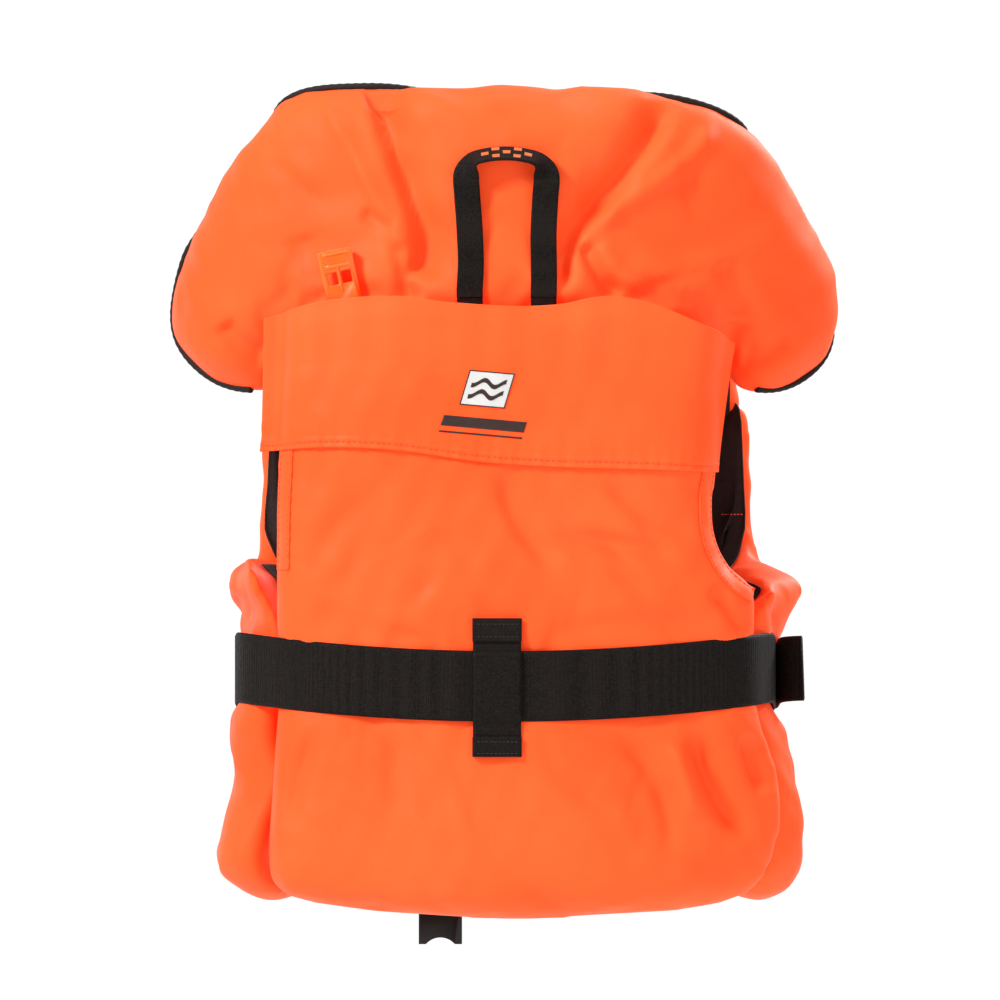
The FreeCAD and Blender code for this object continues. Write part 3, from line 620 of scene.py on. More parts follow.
# ---------------------------------------------------------------- materials
class Finish:
    """A Principled material with short ways to add its procedural nodes."""

    def __init__(self, name, colour, rough, metallic=0.0, sheen=0.0, sheen_rough=0.5, coat=0.0,
                 specular=0.5):
        self.material = bpy.data.materials.new(name)
        self.material.use_nodes = True
        self.nodes = self.material.node_tree.nodes
        self.links = self.material.node_tree.links
        self.shader = self.nodes["Principled BSDF"]
        self.shader.inputs["Base Color"].default_value = (*colour, 1.0)
        self.shader.inputs["Roughness"].default_value = rough
        self.shader.inputs["Metallic"].default_value = metallic
        self.shader.inputs["Specular IOR Level"].default_value = specular
        self.shader.inputs["Sheen Weight"].default_value = sheen
        self.shader.inputs["Sheen Roughness"].default_value = sheen_rough
        self.shader.inputs["Coat Weight"].default_value = coat
        self.where = self.nodes.new("ShaderNodeTexCoord").outputs["Object"]
        self.height = None

    def noise(self, scale, detail=3.0, rough=0.5, stretch=None):
        node = self.nodes.new("ShaderNodeTexNoise")
        node.inputs["Scale"].default_value = scale
        node.inputs["Detail"].default_value = detail
        node.inputs["Roughness"].default_value = rough
        vector = self.where
        if stretch is not None:
            scaled = self.nodes.new("ShaderNodeMapping")
            scaled.inputs["Scale"].default_value = stretch
            self.links.new(vector, scaled.inputs["Vector"])
            vector = scaled.outputs["Vector"]
        self.links.new(vector, node.inputs["Vector"])
        return node.outputs["Fac"]

    def wave(self, axis, period_mm, kind="BANDS", distortion=0.0):
        node = self.nodes.new("ShaderNodeTexWave")
        node.wave_type = kind
        node.bands_direction = axis
        node.inputs["Scale"].default_value = 2 * math.pi / (20.0 * period_mm * MM)
        node.inputs["Distortion"].default_value = distortion
        self.links.new(self.where, node.inputs["Vector"])
        return node.outputs["Fac"]

    def cells(self, scale):
        node = self.nodes.new("ShaderNodeTexVoronoi")
        node.inputs["Scale"].default_value = scale
        self.links.new(self.where, node.inputs["Vector"])
        return node.outputs["Distance"]

    def worn(self, low, high):
        """1 on convex edges, 0 elsewhere."""
        geometry = self.nodes.new("ShaderNodeNewGeometry")
        return self.spread(geometry.outputs["Pointiness"], low, high, 0.0, 1.0)

    def maths(self, kind, first, second=None):
        node = self.nodes.new("ShaderNodeMath")
        node.operation = kind
        for slot, value in enumerate((first, second)):
            if value is None:
                continue
            if isinstance(value, (int, float)):
                node.inputs[slot].default_value = value
            else:
                self.links.new(value, node.inputs[slot])
        return node.outputs["Value"]

    def spread(self, value, low, high, out_low, out_high):
        node = self.nodes.new("ShaderNodeMapRange")
        node.inputs["From Min"].default_value = low
        node.inputs["From Max"].default_value = high
        node.inputs["To Min"].default_value = out_low
        node.inputs["To Max"].default_value = out_high
        self.links.new(value, node.inputs["Value"])
        return node.outputs["Result"]

    def blend(self, share, first, second):
        node = self.nodes.new("ShaderNodeMix")
        node.data_type = "RGBA"
        self.links.new(share, node.inputs["Factor"])
        for slot, colour in (("A", first), ("B", second)):
            socket = [s for s in node.inputs if s.name == slot and s.type == "RGBA"][0]
            if isinstance(colour, tuple):
                socket.default_value = (*colour, 1.0)
            else:
                self.links.new(colour, socket)
        return [s for s in node.outputs if s.type == "RGBA"][0]

    def colour(self, value):
        self.links.new(value, self.shader.inputs["Base Color"])

    def uneven(self, scale, detail, low, high):
        """Roughness that varies between two values in soft patches."""
        value = self.spread(self.noise(scale, detail), 0.3, 0.7, low, high)
        self.links.new(value, self.shader.inputs["Roughness"])

    def bump(self, height, strength, distance_mm):
        node = self.nodes.new("ShaderNodeBump")
        node.inputs["Strength"].default_value = strength
        node.inputs["Distance"].default_value = distance_mm * MM
        self.links.new(height, node.inputs["Height"])
        if self.height is not None:
            self.links.new(self.height, node.inputs["Normal"])
        self.height = node.outputs["Normal"]
        self.links.new(self.height, self.shader.inputs["Normal"])

    def weave(self, period_mm):
        """Threads over and under in all three planes."""
        waves = [self.wave(axis, period_mm) for axis in "XYZ"]
        first = self.maths("MULTIPLY", waves[0], waves[2])
        second = self.maths("MULTIPLY", waves[1], waves[2])
        third = self.maths("MULTIPLY", waves[0], waves[1])
        return self.maths("ADD", self.maths("ADD", first, second), third)


ORANGE = (1.0, 0.128, 0.022)
ORANGE_DEEP = (1.0, 0.110, 0.017)
ORANGE_PALE = (1.0, 0.146, 0.030)
# Painted glow: a red emission on the cloth, which is no lamp, lifts the shade in the folds so it stays
# saturated red.
PAINTED_RED_GLOW = (1.0, 0.01, 0.0, 1.0)


def cover_cloth():
    """Bright orange coated nylon: fine plain weave, soft mottling, small puckers, and a painted red glow
    that keeps its shade bright red.
    """
    kit = Finish("cover_cloth", ORANGE, 0.6, sheen=0.04, sheen_rough=0.4, specular=0.2)
    # Painted glow: red emission that brightens the cloth's shaded folds.
    kit.shader.inputs["Emission Color"].default_value = PAINTED_RED_GLOW
    kit.shader.inputs["Emission Strength"].default_value = 0.33
    broad = kit.spread(kit.noise(9.0, 2.0), 0.35, 0.65, 0.0, 1.0)
    fine = kit.noise(420.0, 3.0, 0.7)
    tone = kit.blend(broad, ORANGE_DEEP, ORANGE_PALE)
    thread = kit.spread(fine, 0.3, 0.7, 0.0, 1.0)
    kit.colour(kit.blend(kit.maths("MULTIPLY", thread, 0.35), tone, ORANGE))
    kit.uneven(60.0, 3.0, 0.52, 0.66)
    kit.bump(kit.noise(38.0, 4.0, 0.55), 0.22, 1.6)
    kit.bump(kit.noise(150.0, 3.0, 0.6), 0.12, 0.6)
    kit.bump(kit.weave(0.75), 0.18, 0.10)
    return kit.material


def lining_cloth():
    """Black lining, slightly shiny in its folds."""
    kit = Finish("lining_cloth", (0.014, 0.010, 0.009), 0.62, sheen=0.05, specular=0.22)
    kit.colour(kit.blend(kit.noise(240.0, 3.0), (0.012, 0.008, 0.007), (0.030, 0.020, 0.016)))
    kit.bump(kit.noise(30.0, 4.0), 0.3, 2.0)
    kit.bump(kit.weave(0.9), 0.35, 0.15)
    return kit.material


def webbing_cloth(name="webbing", colour=(0.0050, 0.0036, 0.0030), pale=(0.0178, 0.0132, 0.0110)):
    """Woven polypropylene tape: its ribs are in the mesh, its threads and lint are here."""
    kit = Finish(name, colour, 0.65, sheen=0.02, specular=0.10)
    threads = kit.maths("ADD", kit.noise(900.0, 2.0, 0.6), kit.maths("MULTIPLY", kit.weave(1.3), 0.14))
    kit.colour(kit.blend(kit.spread(threads, 0.42, 0.78, 0.0, 1.0), colour, pale))
    kit.uneven(300.0, 2.0, 0.58, 0.74)
    kit.bump(kit.weave(1.1), 0.45, 0.22)
    kit.bump(kit.noise(700.0, 3.0), 0.25, 0.12)
    return kit.material


def piping_cloth():
    kit = Finish("piping", (0.012, 0.008, 0.007), 0.7, sheen=0.05, specular=0.25)
    kit.colour(kit.blend(kit.noise(500.0, 3.0), (0.009, 0.006, 0.005), (0.026, 0.016, 0.012)))
    kit.bump(kit.noise(900.0, 3.0), 0.5, 0.25)
    return kit.material


def thread(name, colour, dark):
    """Twisted sewing thread."""
    kit = Finish(name, colour, 0.55, sheen=0.2)
    kit.colour(kit.blend(kit.noise(1500.0, 2.0), dark, colour))
    kit.bump(kit.noise(2600.0, 2.0), 0.4, 0.08)
    return kit.material


def badge_print():
    """White printed patch with a faint cloth texture."""
    kit = Finish("badge_print", (0.80, 0.79, 0.76), 0.45)
    kit.colour(kit.blend(kit.noise(300.0, 3.0), (0.74, 0.73, 0.70), (0.84, 0.83, 0.81)))
    kit.bump(kit.weave(0.75), 0.25, 0.08)
    return kit.material


def badge_ink():
    kit = Finish("badge_ink", (0.015, 0.013, 0.016), 0.5)
    kit.colour(kit.blend(kit.noise(700.0, 3.0), (0.022, 0.009, 0.008), (0.050, 0.018, 0.014)))
    kit.bump(kit.weave(0.75), 0.25, 0.08)
    return kit.material


def reflective_tape():
    """Silver tape: glass-bead sparkle in small honeycomb cells."""
    kit = Finish("reflective_tape", (0.62, 0.64, 0.66), 0.32, metallic=0.75)
    cell = kit.spread(kit.cells(420.0), 0.0, 0.6, 0.0, 1.0)
    kit.colour(kit.blend(cell, (0.70, 0.72, 0.74), (0.42, 0.44, 0.46)))
    kit.uneven(80.0, 3.0, 0.24, 0.42)
    kit.bump(cell, 0.35, 0.12)
    return kit.material


def zip_tape_cloth():
    kit = Finish("zip_tape", (0.016, 0.013, 0.012), 0.75, sheen=0.2)
    kit.colour(kit.blend(kit.noise(600.0, 2.0), (0.010, 0.008, 0.008), (0.034, 0.028, 0.026)))
    kit.bump(kit.weave(0.9), 0.6, 0.18)
    return kit.material


def moulded(name, colour, pale, rough_low, rough_high, grain=700.0, worn=0.5, specular=0.5):
    """Moulded plastic: fine spark grain, handling scuffs and paler worn edges."""
    kit = Finish(name, colour, rough_low, specular=specular)
    edge = kit.maths("MULTIPLY", kit.worn(0.505, 0.56), worn)
    scuff = kit.spread(kit.noise(90.0, 6.0, 0.75), 0.58, 0.72, 0.0, 0.45)
    kit.colour(kit.blend(kit.maths("MAXIMUM", edge, scuff), colour, pale))
    kit.uneven(45.0, 4.0, rough_low, rough_high)
    kit.bump(kit.noise(grain, 2.0), 0.16, 0.12)
    return kit.material


def painted_metal():
    """Black-painted slider with bright metal on its rubbed edges."""
    kit = Finish("zip_metal", (0.02, 0.02, 0.02), 0.38, metallic=0.3)
    edge = kit.maths("MULTIPLY", kit.worn(0.51, 0.57), kit.noise(200.0, 4.0))
    kit.colour(kit.blend(edge, (0.018, 0.017, 0.017), (0.45, 0.43, 0.40)))
    kit.uneven(150.0, 3.0, 0.30, 0.48)
    kit.bump(kit.noise(500.0, 2.0), 0.12, 0.08)
    return kit.material


COVER = cover_cloth()
LINING = lining_cloth()
WEB = webbing_cloth()
PIPING = piping_cloth()
ORANGE_THREAD = thread("orange_thread", (0.95, 0.085, 0.018), (0.75, 0.050, 0.010))
BLACK_THREAD = thread("black_thread", (0.022, 0.018, 0.016), (0.010, 0.008, 0.007))
WOVEN_BLOCK = thread("woven_block", (0.80, 0.17, 0.012), (0.55, 0.10, 0.008))
BADGE = badge_print()
INK = badge_ink()
REFLECT = reflective_tape()
ZIP_TAPE = zip_tape_cloth()
ZIP_PLASTIC = moulded("zip_plastic", (0.016, 0.014, 0.014), (0.05, 0.045, 0.04), 0.32, 0.45)
ZIP_METAL = painted_metal()
WHISTLE = moulded("whistle_plastic", (1.0, 0.150, 0.008), (1.0, 0.26, 0.04), 0.28, 0.40, grain=350.0)
BUCKLE = moulded("buckle_plastic", (0.010, 0.008, 0.007), (0.032, 0.027, 0.023), 0.36, 0.52, specular=0.3)


# ---------------------------------------------------------------- the panels' surfaces
def side_word(side):
    """The name of a side: +1 is the wearer's left."""
    return "left" if side > 0 else "right"


def on_back(depth=0.0):
    """Points and outward way on the back panel's bend, a depth in from its outer face."""
    def place(x, z):
        far = BACK_BEND - depth
        y = BACK_FACE - BACK_BEND + np.sqrt(far ** 2 - x ** 2)
        way = np.stack([x / far, np.sqrt(1 - (x / far) ** 2), 0 * x], 1)
        return np.stack([x, y, z], 1), way
    return place


def turned(place):
    """The same surface with its two coordinates swapped."""
    return lambda z, x: place(x, z)


def inward(place):
    """The same surface seen from the wearer's side."""
    def inner(u, v):
        point, way = place(u, v)
        return point, -way
    return inner


FLAT_RUN = SIDE_HALF - CORNER - 4.0
MIDDLE_TURN = CORNER - PANEL_HALF


def side_pull(z, side):
    """How far the sides stand in from their full width: the belt gathers them."""
    belt = 15.0 * hump(z, 146.0, 25.0)
    if side < 0:
        below = 5.0 * hump(z, 112.0, 22.0) - 3.5 * hump(z, 56.0, 26.0)
        ear = -9.0 * hump(z, 193.0, 10.0)
    else:
        below = 13.0 * hump(z, 86.0, 31.0) + 10.0 * (1 - ease(z, 14.0, 34.0))
        ear = 9.5 * hump(z, 177.0, 21.0)
    return belt + below + ear


def chest_flare(turn, z, side):
    """The chest's free edge stands out beside the armhole, more on the wearer's right."""
    return (13.5 - 0.5 * side) * ease(z, 204.0, 236.0) * np.sin(turn)


def on_front(side, depth=PANEL_HALF):
    """The front panel's bend: u runs from the zip round the corner, v is up."""
    def place(u, z):
        turn = np.clip((u - FLAT_RUN) / MIDDLE_TURN, 0.0, math.pi / 2)
        past = np.maximum(u - FLAT_RUN - MIDDLE_TURN * math.pi / 2, 0.0)
        before = np.minimum(u, FLAT_RUN)
        reach = CORNER - depth
        x = 4.0 + before + reach * np.sin(turn) - side_pull(z, side) * np.sin(turn) ** 2
        x = x + chest_flare(turn, z, side)
        y = -FRONT_FACE + CORNER - reach * np.cos(turn) + past
        way = np.stack([side * np.sin(turn), -np.cos(turn), 0 * u], 1)
        return np.stack([side * x, y, z], 1), way
    return place


def on_collar(depth=0.0):
    """The collar's bend, pulled back to the neck seam along its lower edge."""
    def place(x, z):
        bend = COLLAR_BEND - depth
        y = COLLAR_HUB + np.sqrt(bend ** 2 - x ** 2)
        seam = BACK_FACE - BACK_BEND + np.sqrt(BACK_BEND ** 2 - x ** 2) - 14.0
        share = (1 - ease(z, 352.0, 398.0)) * (1 - ease(np.abs(x), 78.0, 136.0))
        y = y + share * np.maximum(seam - y, 0.0)
        way = np.stack([x / bend, np.sqrt(1 - (x / bend) ** 2), 0 * x], 1)
        return np.stack([x, y, z], 1), way
    return place


# ---------------------------------------------------------------- back panel
BACK_LEFT = profile([(-1.0, 2.0), (1.0, 40.0), (4.0, 75.0), (8.5, 104.0), (14.0, 126.0), (22.0, 135.0),
                     (42.0, 138.5), (100.0, 137.5), (141.0, 135.0), (180.0, 136.5), (225.0, 136.0),
                     (281.0, 134.0), (350.0, 127.0)])
BACK_RIGHT = profile([(-1.0, -18.0), (1.5, -60.0), (4.5, -100.0), (10.0, -128.0), (17.0, -143.0),
                      (30.0, -153.0), (60.0, -162.0), (92.0, -160.0), (118.0, -152.0), (141.0, -148.0),
                      (180.0, -149.0),
                      (196.0, -148.0), (203.0, -141.0), (210.0, -133.0), (224.0, -126.0),
                      (246.0, -123.5), (264.0, -126.0), (350.0, -124.0)])


def make_back_pad():
    """Foam panel in its orange cover, gathered a little under the belt."""
    def outer(z, x):
        belt = 5.0 * hump(z, 140.0, 24.0)
        turned_off = 7.0 * ease(-x, 92.0, 150.0) * (1 - ease(z, 92.0, 124.0))
        return 21.5 + 2.0 * np.cos(x / 95.0) - belt - turned_off

    def inner(z, x):
        return 19.0 + 0.0 * z

    pad = pillow("back_pad", BACK_RIGHT, BACK_LEFT, -1.0, BACK_TOP, turned(on_back(PANEL_HALF)), outer,
                 inner, 24.0, cols=110, rows=90)
    puff(pad, growth=0.018, cap=4.0, voxel=5.0)
    points, ways = points_of(pad), normals_of(pad)
    flat = points[:, [0, 2]]
    out = ease(ways[:, 1], 0.1, 0.6)
    points = fold_each(points, ways, flat, (
        ([(2.0, 268.0), (-6.0, 236.0), (-30.0, 205.0)], 2.6, 7.0, 13.0),
        ([(-20.0, 226.0), (-62.0, 222.0), (-112.0, 213.0)], 2.4, 10.0, 6.0),
        ([(-52.0, 262.0), (-86.0, 236.0), (-116.0, 226.0)], 1.8, 9.0, 7.0),
        ([(60.0, 268.0), (92.0, 236.0), (120.0, 205.0)], 1.6, 10.0, 10.0),
        ([(-58.0, 118.0), (-84.0, 92.0), (-96.0, 60.0), (-90.0, 34.0)], 2.6, 9.0, 6.0),
        ([(-112.0, 116.0), (-118.0, 88.0), (-132.0, 62.0), (-146.0, 48.0)], 4.6, 9.0, 7.0),
        ([(-96.0, 112.0), (-104.0, 84.0), (-112.0, 58.0)], -2.6, 7.0, 7.0),
        ([(-140.0, 112.0), (-146.0, 90.0), (-152.0, 74.0)], 3.4, 6.0, 7.0),
        ([(-18.0, 115.0), (-34.0, 84.0), (-70.0, 60.0)], 1.8, 8.0, 12.0),
        ([(58.0, 116.0), (66.0, 88.0), (60.0, 62.0)], 1.5, 9.0, 9.0),
        ([(110.0, 116.0), (122.0, 84.0), (126.0, 50.0)], 2.4, 7.0, 9.0),
        ([(-20.0, 168.0), (-70.0, 176.0), (-124.0, 172.0)], 1.4, 7.0, 7.0),
        ([(30.0, 164.0), (76.0, 172.0), (122.0, 190.0)], 1.5, 7.0, 9.0),
        ([(-118.0, 196.0), (-130.0, 184.0), (-140.0, 166.0)], 2.6, 5.0, 6.0),
    ), (1.95, 0.75, 0.9), 0.3, out)

    def slant(x, z):
        below = z < 140.0
        return (-1.05 if x < -20.0 else -1.9) if below else (0.9 if x < 30.0 else -0.7)

    points = creases(points, ways, flat, 7, 34, ((-135.0, 120.0), (20.0, 240.0)), slant, out, 1.4)
    points = creases(points, ways, flat, 17, 22, ((-130.0, 120.0), (92.0, 186.0)),
                     lambda x, z: 1.45 + 0.3 * math.sin(x), out, 1.2)
    ripple = soft_noise(points, 46.0, 3) * 1.1 + soft_noise(points, 20.0, 4) * 0.5
    set_points(pad, points + ways * (ripple * out)[:, None])
    finish_piece(pad, COVER, "jacket", ("back_cover", "back_foam"))
    return pad


def make_front_pad(side, name):
    """One front panel: from the zip round the corner to the side."""
    end = FLAT_RUN + MIDDLE_TURN * math.pi / 2 + 81.0
    drop = 1.0 if side < 0 else 0.0
    neck = [(0.0, 290.0), (12.0, 292.0), (24.0, 297.0), (34.0, 300.0), (70.0, 301.0), (116.0, 300.0),
            (134.0, 304.0), (139.0, 292.0), (140.0, 272.0), (142.0, 246.0), (148.0, 224.0),
            (160.0, 214.0), (184.0, 214.0 - 3.0 * drop), (216.0, 215.0 - 11.0 * drop),
            (245.0, 214.0 - 17.0 * drop), (end, 208.0 - 18.0 * drop)]
    hem = [(0.0, 20.0), (60.0, 18.0), (130.0, 16.0), (190.0, 14.0), (220.0, 13.0), (246.0, 16.0),
           (end, 30.0)]
    high, low = profile(neck), profile(hem)

    def slack(u, z):
        ear = ease(u, end - 81.0, end - 30.0) * ease(z, 158.0, 186.0)
        chest = 0.85 * ease(u, 96.0, 134.0) * ease(z, 196.0, 222.0)
        return np.maximum(ear, chest)

    def outer(u, z):
        belt = 5.5 * hump(z, BELT_LEVEL, 20.0)
        full = 18.4 + 3.2 * ease(u, 13.0, 60.0) - belt * ease(u, 6.0, 50.0)
        return full * (1 - 0.72 * slack(u, z)) * (1 - 0.3 * ease(u, end - 30.0, end))

    def inner(u, z):
        return 18.5 * (1 - 0.72 * slack(u, z)) * (1 - 0.6 * ease(u, end - 46.0, end - 12.0))

    def edge(u, z):
        return 6.0 + 18.0 * ease(u, 8.0, 46.0)

    pad = pillow(name, low, high, 0.0, end, on_front(side), outer, inner, edge, cols=110, rows=80,
                 lined=7.0)
    puff(pad, growth=0.018, cap=3.5, voxel=4.4, hold=lambda p: np.abs(p[:, 0]) < 14.0)
    points, ways = points_of(pad), normals_of(pad)
    angle = np.arctan2(np.abs(points[:, 0]) - 60.0, -points[:, 1])
    flat = np.stack([np.abs(points[:, 0]) + np.maximum(points[:, 1] + 60.0, 0.0) * 0.9, points[:, 2]], 1)
    out = ease(side * ways[:, 0] + np.maximum(-ways[:, 1], 0.0), 0.3, 0.8) * (angle > -2.0)
    out *= ease(np.abs(points[:, 0]), 18.0, 34.0)
    tilt = 8.0 * side
    points = fold_each(points, ways, flat, (
        ([(60.0, 166.0), (96.0, 178.0), (130.0, 202.0)], 1.8, 8.0, 10.0),
        ([(40.0, 116.0), (62.0, 92.0), (70.0, 60.0)], 1.9, 8.0, 8.0),
        ([(104.0, 116.0), (118.0, 86.0 + tilt), (122.0, 50.0)], 2.4, 8.0, 8.0),
        ([(168.0, 116.0), (186.0, 92.0), (206.0, 80.0 - tilt)], 3.0, 8.0, 9.0),
        ([(170.0, 168.0), (196.0, 182.0), (222.0, 190.0)], 2.6, 7.0, 9.0),
        ([(46.0, 214.0), (80.0, 224.0), (112.0, 250.0 + tilt)], 1.5, 12.0, 8.0),
        ([(214.0, 40.0), (220.0, 70.0), (212.0, 104.0)], 2.2, 7.0, 7.0),
    ), (1.7, 0.85, 0.9), 0.3, out)
    if side > 0:
        crumple = curve_through([(146.0, 36.0), (188.0, 28.0), (240.0, 24.0)], 40)
        points = fold(points, ways, flat, crumple, 7.5, 5.0, 5.0, 0.2, ease(side * ways[:, 0], 0.1, 0.5))
    points = creases(points, ways, flat, 23 + side, 30, ((30.0, 230.0), (40.0, 270.0)),
                     lambda x, z: 1.2 + 0.5 * math.sin(x / 20.0), out)
    ripple = soft_noise(points, 44.0, 5 + side) * 1.1 + soft_noise(points, 19.0, 9 + side) * 0.5
    set_points(pad, points + ways * (ripple * out)[:, None])
    word = side_word(side)
    finish_piece(pad, COVER, "jacket", (f"{word}_front_cover", f"{word}_front_foam"))
    return pad, low, high, end


# ---------------------------------------------------------------- collar
COLLAR_TOP = profile([(-190.5, 358.0), (-189.0, 374.0), (-181.0, 398.0), (-168.0, 423.0),
                      (-152.0, 447.0), (-137.0, 464.0), (-122.0, 474.5), (-104.0, 479.5),
                      (-84.0, 484.0), (-60.0, 489.0), (-30.0, 491.0), (0.0, 492.0), (30.0, 491.0),
                      (58.0, 490.0), (92.0, 489.0), (114.0, 486.0), (128.0, 478.5), (142.0, 462.0),
                      (154.0, 445.0), (168.0, 421.0), (180.0, 397.0), (188.5, 373.0), (190.5, 358.0)])
COLLAR_FLOOR = profile([(-190.5, 357.0), (-188.0, 344.0), (-179.0, 328.0), (-164.0, 315.5),
                        (-148.0, 312.0), (-139.0, 314.0), (-134.0, 322.0), (-126.0, 333.0),
                        (-108.0, 342.0), (-80.0, 349.0), (80.0, 349.0), (108.0, 342.0), (126.0, 333.0),
                        (134.0, 322.0), (139.0, 313.5), (150.0, 311.5), (166.0, 316.5),
                        (180.0, 329.0), (188.5, 345.0), (190.5, 357.0)])


def make_collar_pad():
    """The head support: one big crowned pad, folded where the head part meets the two wings."""
    def outer(x, z):
        neck = (1 - ease(z, 352.0, 392.0)) * (1 - ease(np.abs(x), 96.0, 138.0))
        wing = 2.0 * hump(np.abs(x), 128.0, 34.0)
        return (26.0 + wing) * (1 - 0.45 * neck)

    def inner(x, z):
        neck = (1 - ease(z, 352.0, 384.0)) * (1 - ease(np.abs(x), 96.0, 138.0))
        return 26.0 * (1 - 0.3 * neck)

    pad = pillow("collar_pad", COLLAR_FLOOR, COLLAR_TOP, -COLLAR_SIDE, COLLAR_SIDE, on_collar(), outer,
                 inner, 46.0, cols=120, rows=70)

    def rim(points):
        return (points[:, 2] < 357.0) & (np.abs(points[:, 0]) < 120.0)

    puff(pad, growth=0.03, cap=5.0, voxel=5.0, hold=rim)
    points, ways = points_of(pad), normals_of(pad)
    flat = points[:, [0, 2]]
    out = ease(ways[:, 1], -0.2, 0.35)
    points = fold_each(points, ways, flat, (
        ([(80.0, 492.0), (67.0, 450.0), (57.5, 424.0), (51.0, 404.0), (51.5, 388.0), (55.0, 372.0)],
         8.5, 4.5, 17.0),
        ([(107.0, 484.0), (89.0, 447.0), (75.0, 421.0), (64.0, 402.0), (57.0, 380.0)], -2.2, 6.0, 6.0),
        ([(84.0, 413.0), (74.0, 408.0), (64.0, 404.0)], 2.2, 4.0, 5.0),
        ([(64.0, 396.0), (59.0, 376.0), (56.0, 360.0)], 4.0, 5.0, 6.0),
        ([(-94.0, 482.0), (-88.0, 464.0), (-72.0, 440.0), (-54.0, 417.0), (-40.5, 401.0),
          (-34.5, 384.0), (-33.0, 366.0)], 7.5, 13.0, 6.0),
        ([(-124.0, 468.0), (-110.0, 448.0), (-95.0, 436.0), (-77.0, 422.5), (-60.0, 413.0),
          (-46.0, 404.0), (-40.0, 390.0), (-38.0, 372.0)], -2.6, 7.0, 6.0),
        ([(-45.0, 396.0), (-53.0, 380.0), (-66.0, 363.0)], 4.2, 5.0, 5.5),
        ([(-54.0, 396.0), (-64.0, 380.0), (-80.0, 366.0)], -1.6, 6.0, 6.0),
        ([(-126.0, 384.0), (-134.0, 370.0), (-136.0, 352.0)], 2.0, 9.0, 9.0),
        ([(-137.0, 330.0), (-152.0, 328.0), (-168.0, 340.0)], 2.2, 6.0, 8.0),
        ([(166.0, 350.0), (156.0, 338.0), (138.0, 330.0)], 3.4, 8.0, 7.0),
        ([(118.0, 402.0), (112.0, 380.0), (104.0, 360.0)], 2.0, 12.0, 9.0),
        ([(20.0, 380.0), (2.0, 366.0), (-16.0, 376.0)], 1.4, 10.0, 8.0),
    ), (1.6, 0.8, 1.0), 0.12, out, 60)

    def radiate(x, z):
        return math.atan2(z - 350.0, x - 40.0 * np.sign(x))

    points = creases(points, ways, flat, 41, 30, ((-130.0, 130.0), (362.0, 455.0)), radiate, out, 1.4)
    front = ease(-ways[:, 1], -0.1, 0.4)
    points = fold_each(points, ways, flat, (
        ([(86.0, 482.0), (74.0, 440.0), (70.0, 400.0), (72.0, 362.0)], 7.0, 9.0, 9.0),
        ([(-86.0, 480.0), (-74.0, 440.0), (-70.0, 400.0), (-72.0, 362.0)], 7.0, 9.0, 9.0),
        ([(30.0, 356.0), (24.0, 380.0), (28.0, 402.0)], 2.0, 7.0, 7.0),
        ([(-34.0, 356.0), (-26.0, 378.0), (-32.0, 404.0)], 2.0, 7.0, 7.0),
        ([(150.0, 330.0), (140.0, 360.0), (146.0, 396.0)], 1.8, 9.0, 9.0),
        ([(-150.0, 330.0), (-142.0, 362.0), (-148.0, 398.0)], 1.8, 9.0, 9.0),
    ), (1.0, 1.0, 1.0), 0.2, front, 60)
    ripple = soft_noise(points, 58.0, 21) * 1.2 + soft_noise(points, 24.0, 22) * 0.55
    set_points(pad, points + ways * ripple[:, None])
    finish_piece(pad, COVER, "collar", ("collar_cover", "collar_foam_centre", "collar_foam_left",
                                        "collar_foam_right"))
    return pad


def make_collar_piping(pad):
    """Black piping in the collar's rim seam; the cloth rolls over it where the pad is fullest."""
    wing_tip = 138.0
    upper_x = np.linspace(COLLAR_SIDE, -COLLAR_SIDE, 420)
    lower_x = np.linspace(-COLLAR_SIDE, -wing_tip, 100)
    start_x = np.linspace(wing_tip, COLLAR_SIDE, 100)
    rim = np.vstack([
        np.stack([start_x, COLLAR_FLOOR(start_x)], 1),
        np.stack([upper_x, COLLAR_TOP(upper_x)], 1),
        np.stack([lower_x, COLLAR_FLOOR(lower_x)], 1),
    ])
    rim = resample(rim, 560)
    x, z = rim[:, 0], rim[:, 1]
    shown = ease(x, 54.0, 64.0) * ease(z, 462.0, 470.0)
    shown += ease(-x, 78.0, 88.0) * ease(z, 452.0, 460.0)
    shown += ease(x, 150.0, 168.0) * (1 - ease(z, 404.0, 416.0)) + (x > 0) * (1 - ease(z, 322.0, 340.0))
    shown += (x < 0) * (1 - ease(z, 352.0, 366.0))
    shown = np.clip(shown, 0.0, 1.0)
    tree = tree_of(pad)
    offsets = np.linspace(-16.0, 20.0, 13)
    middle, way = on_collar()(x, z)
    hub = np.stack([x * 0.55, 0 * x, np.full_like(x, 410.0)], 1)
    aims = middle - hub
    aims[:, 1] = 0.0
    aims = unit(aims)

    def rim_hit(i, offset):
        start = middle[i] + way[i] * offset
        hit = tree.ray_cast(Vector(start + aims[i] * 34.0), Vector(-aims[i]), 95.0)[0]
        return None if hit is None else np.array(hit)

    widest = []
    for i in range(len(rim)):
        reached = [(float(np.dot(hit, aims[i])), d) for d in offsets
                   for hit in [rim_hit(i, d)] if hit is not None]
        widest.append(max(reached)[1] if reached else 0.0)
    widest = averaged(widest, 35)
    offset = averaged(widest * shown - 12.0 * (1 - shown), 16)
    line = []
    for i in range(len(rim)):
        hit = rim_hit(i, offset[i])
        line.append(middle[i] if hit is None else hit + aims[i] * (0.6 + 0.9 * shown[i]))
    line = np.array(line)
    for _ in range(2):
        for axis in range(3):
            line[:, axis] = averaged(line[:, axis], 9)
    line = resample(line, 600)
    tube("collar_piping_cord", line, 2.2, PIPING, "collar", sides=10, replaces=("collar_piping",),
         slot="piping", twist=lambda i, a: 1.0 + 0.06 * math.sin(a * 2 + i * 1.6))


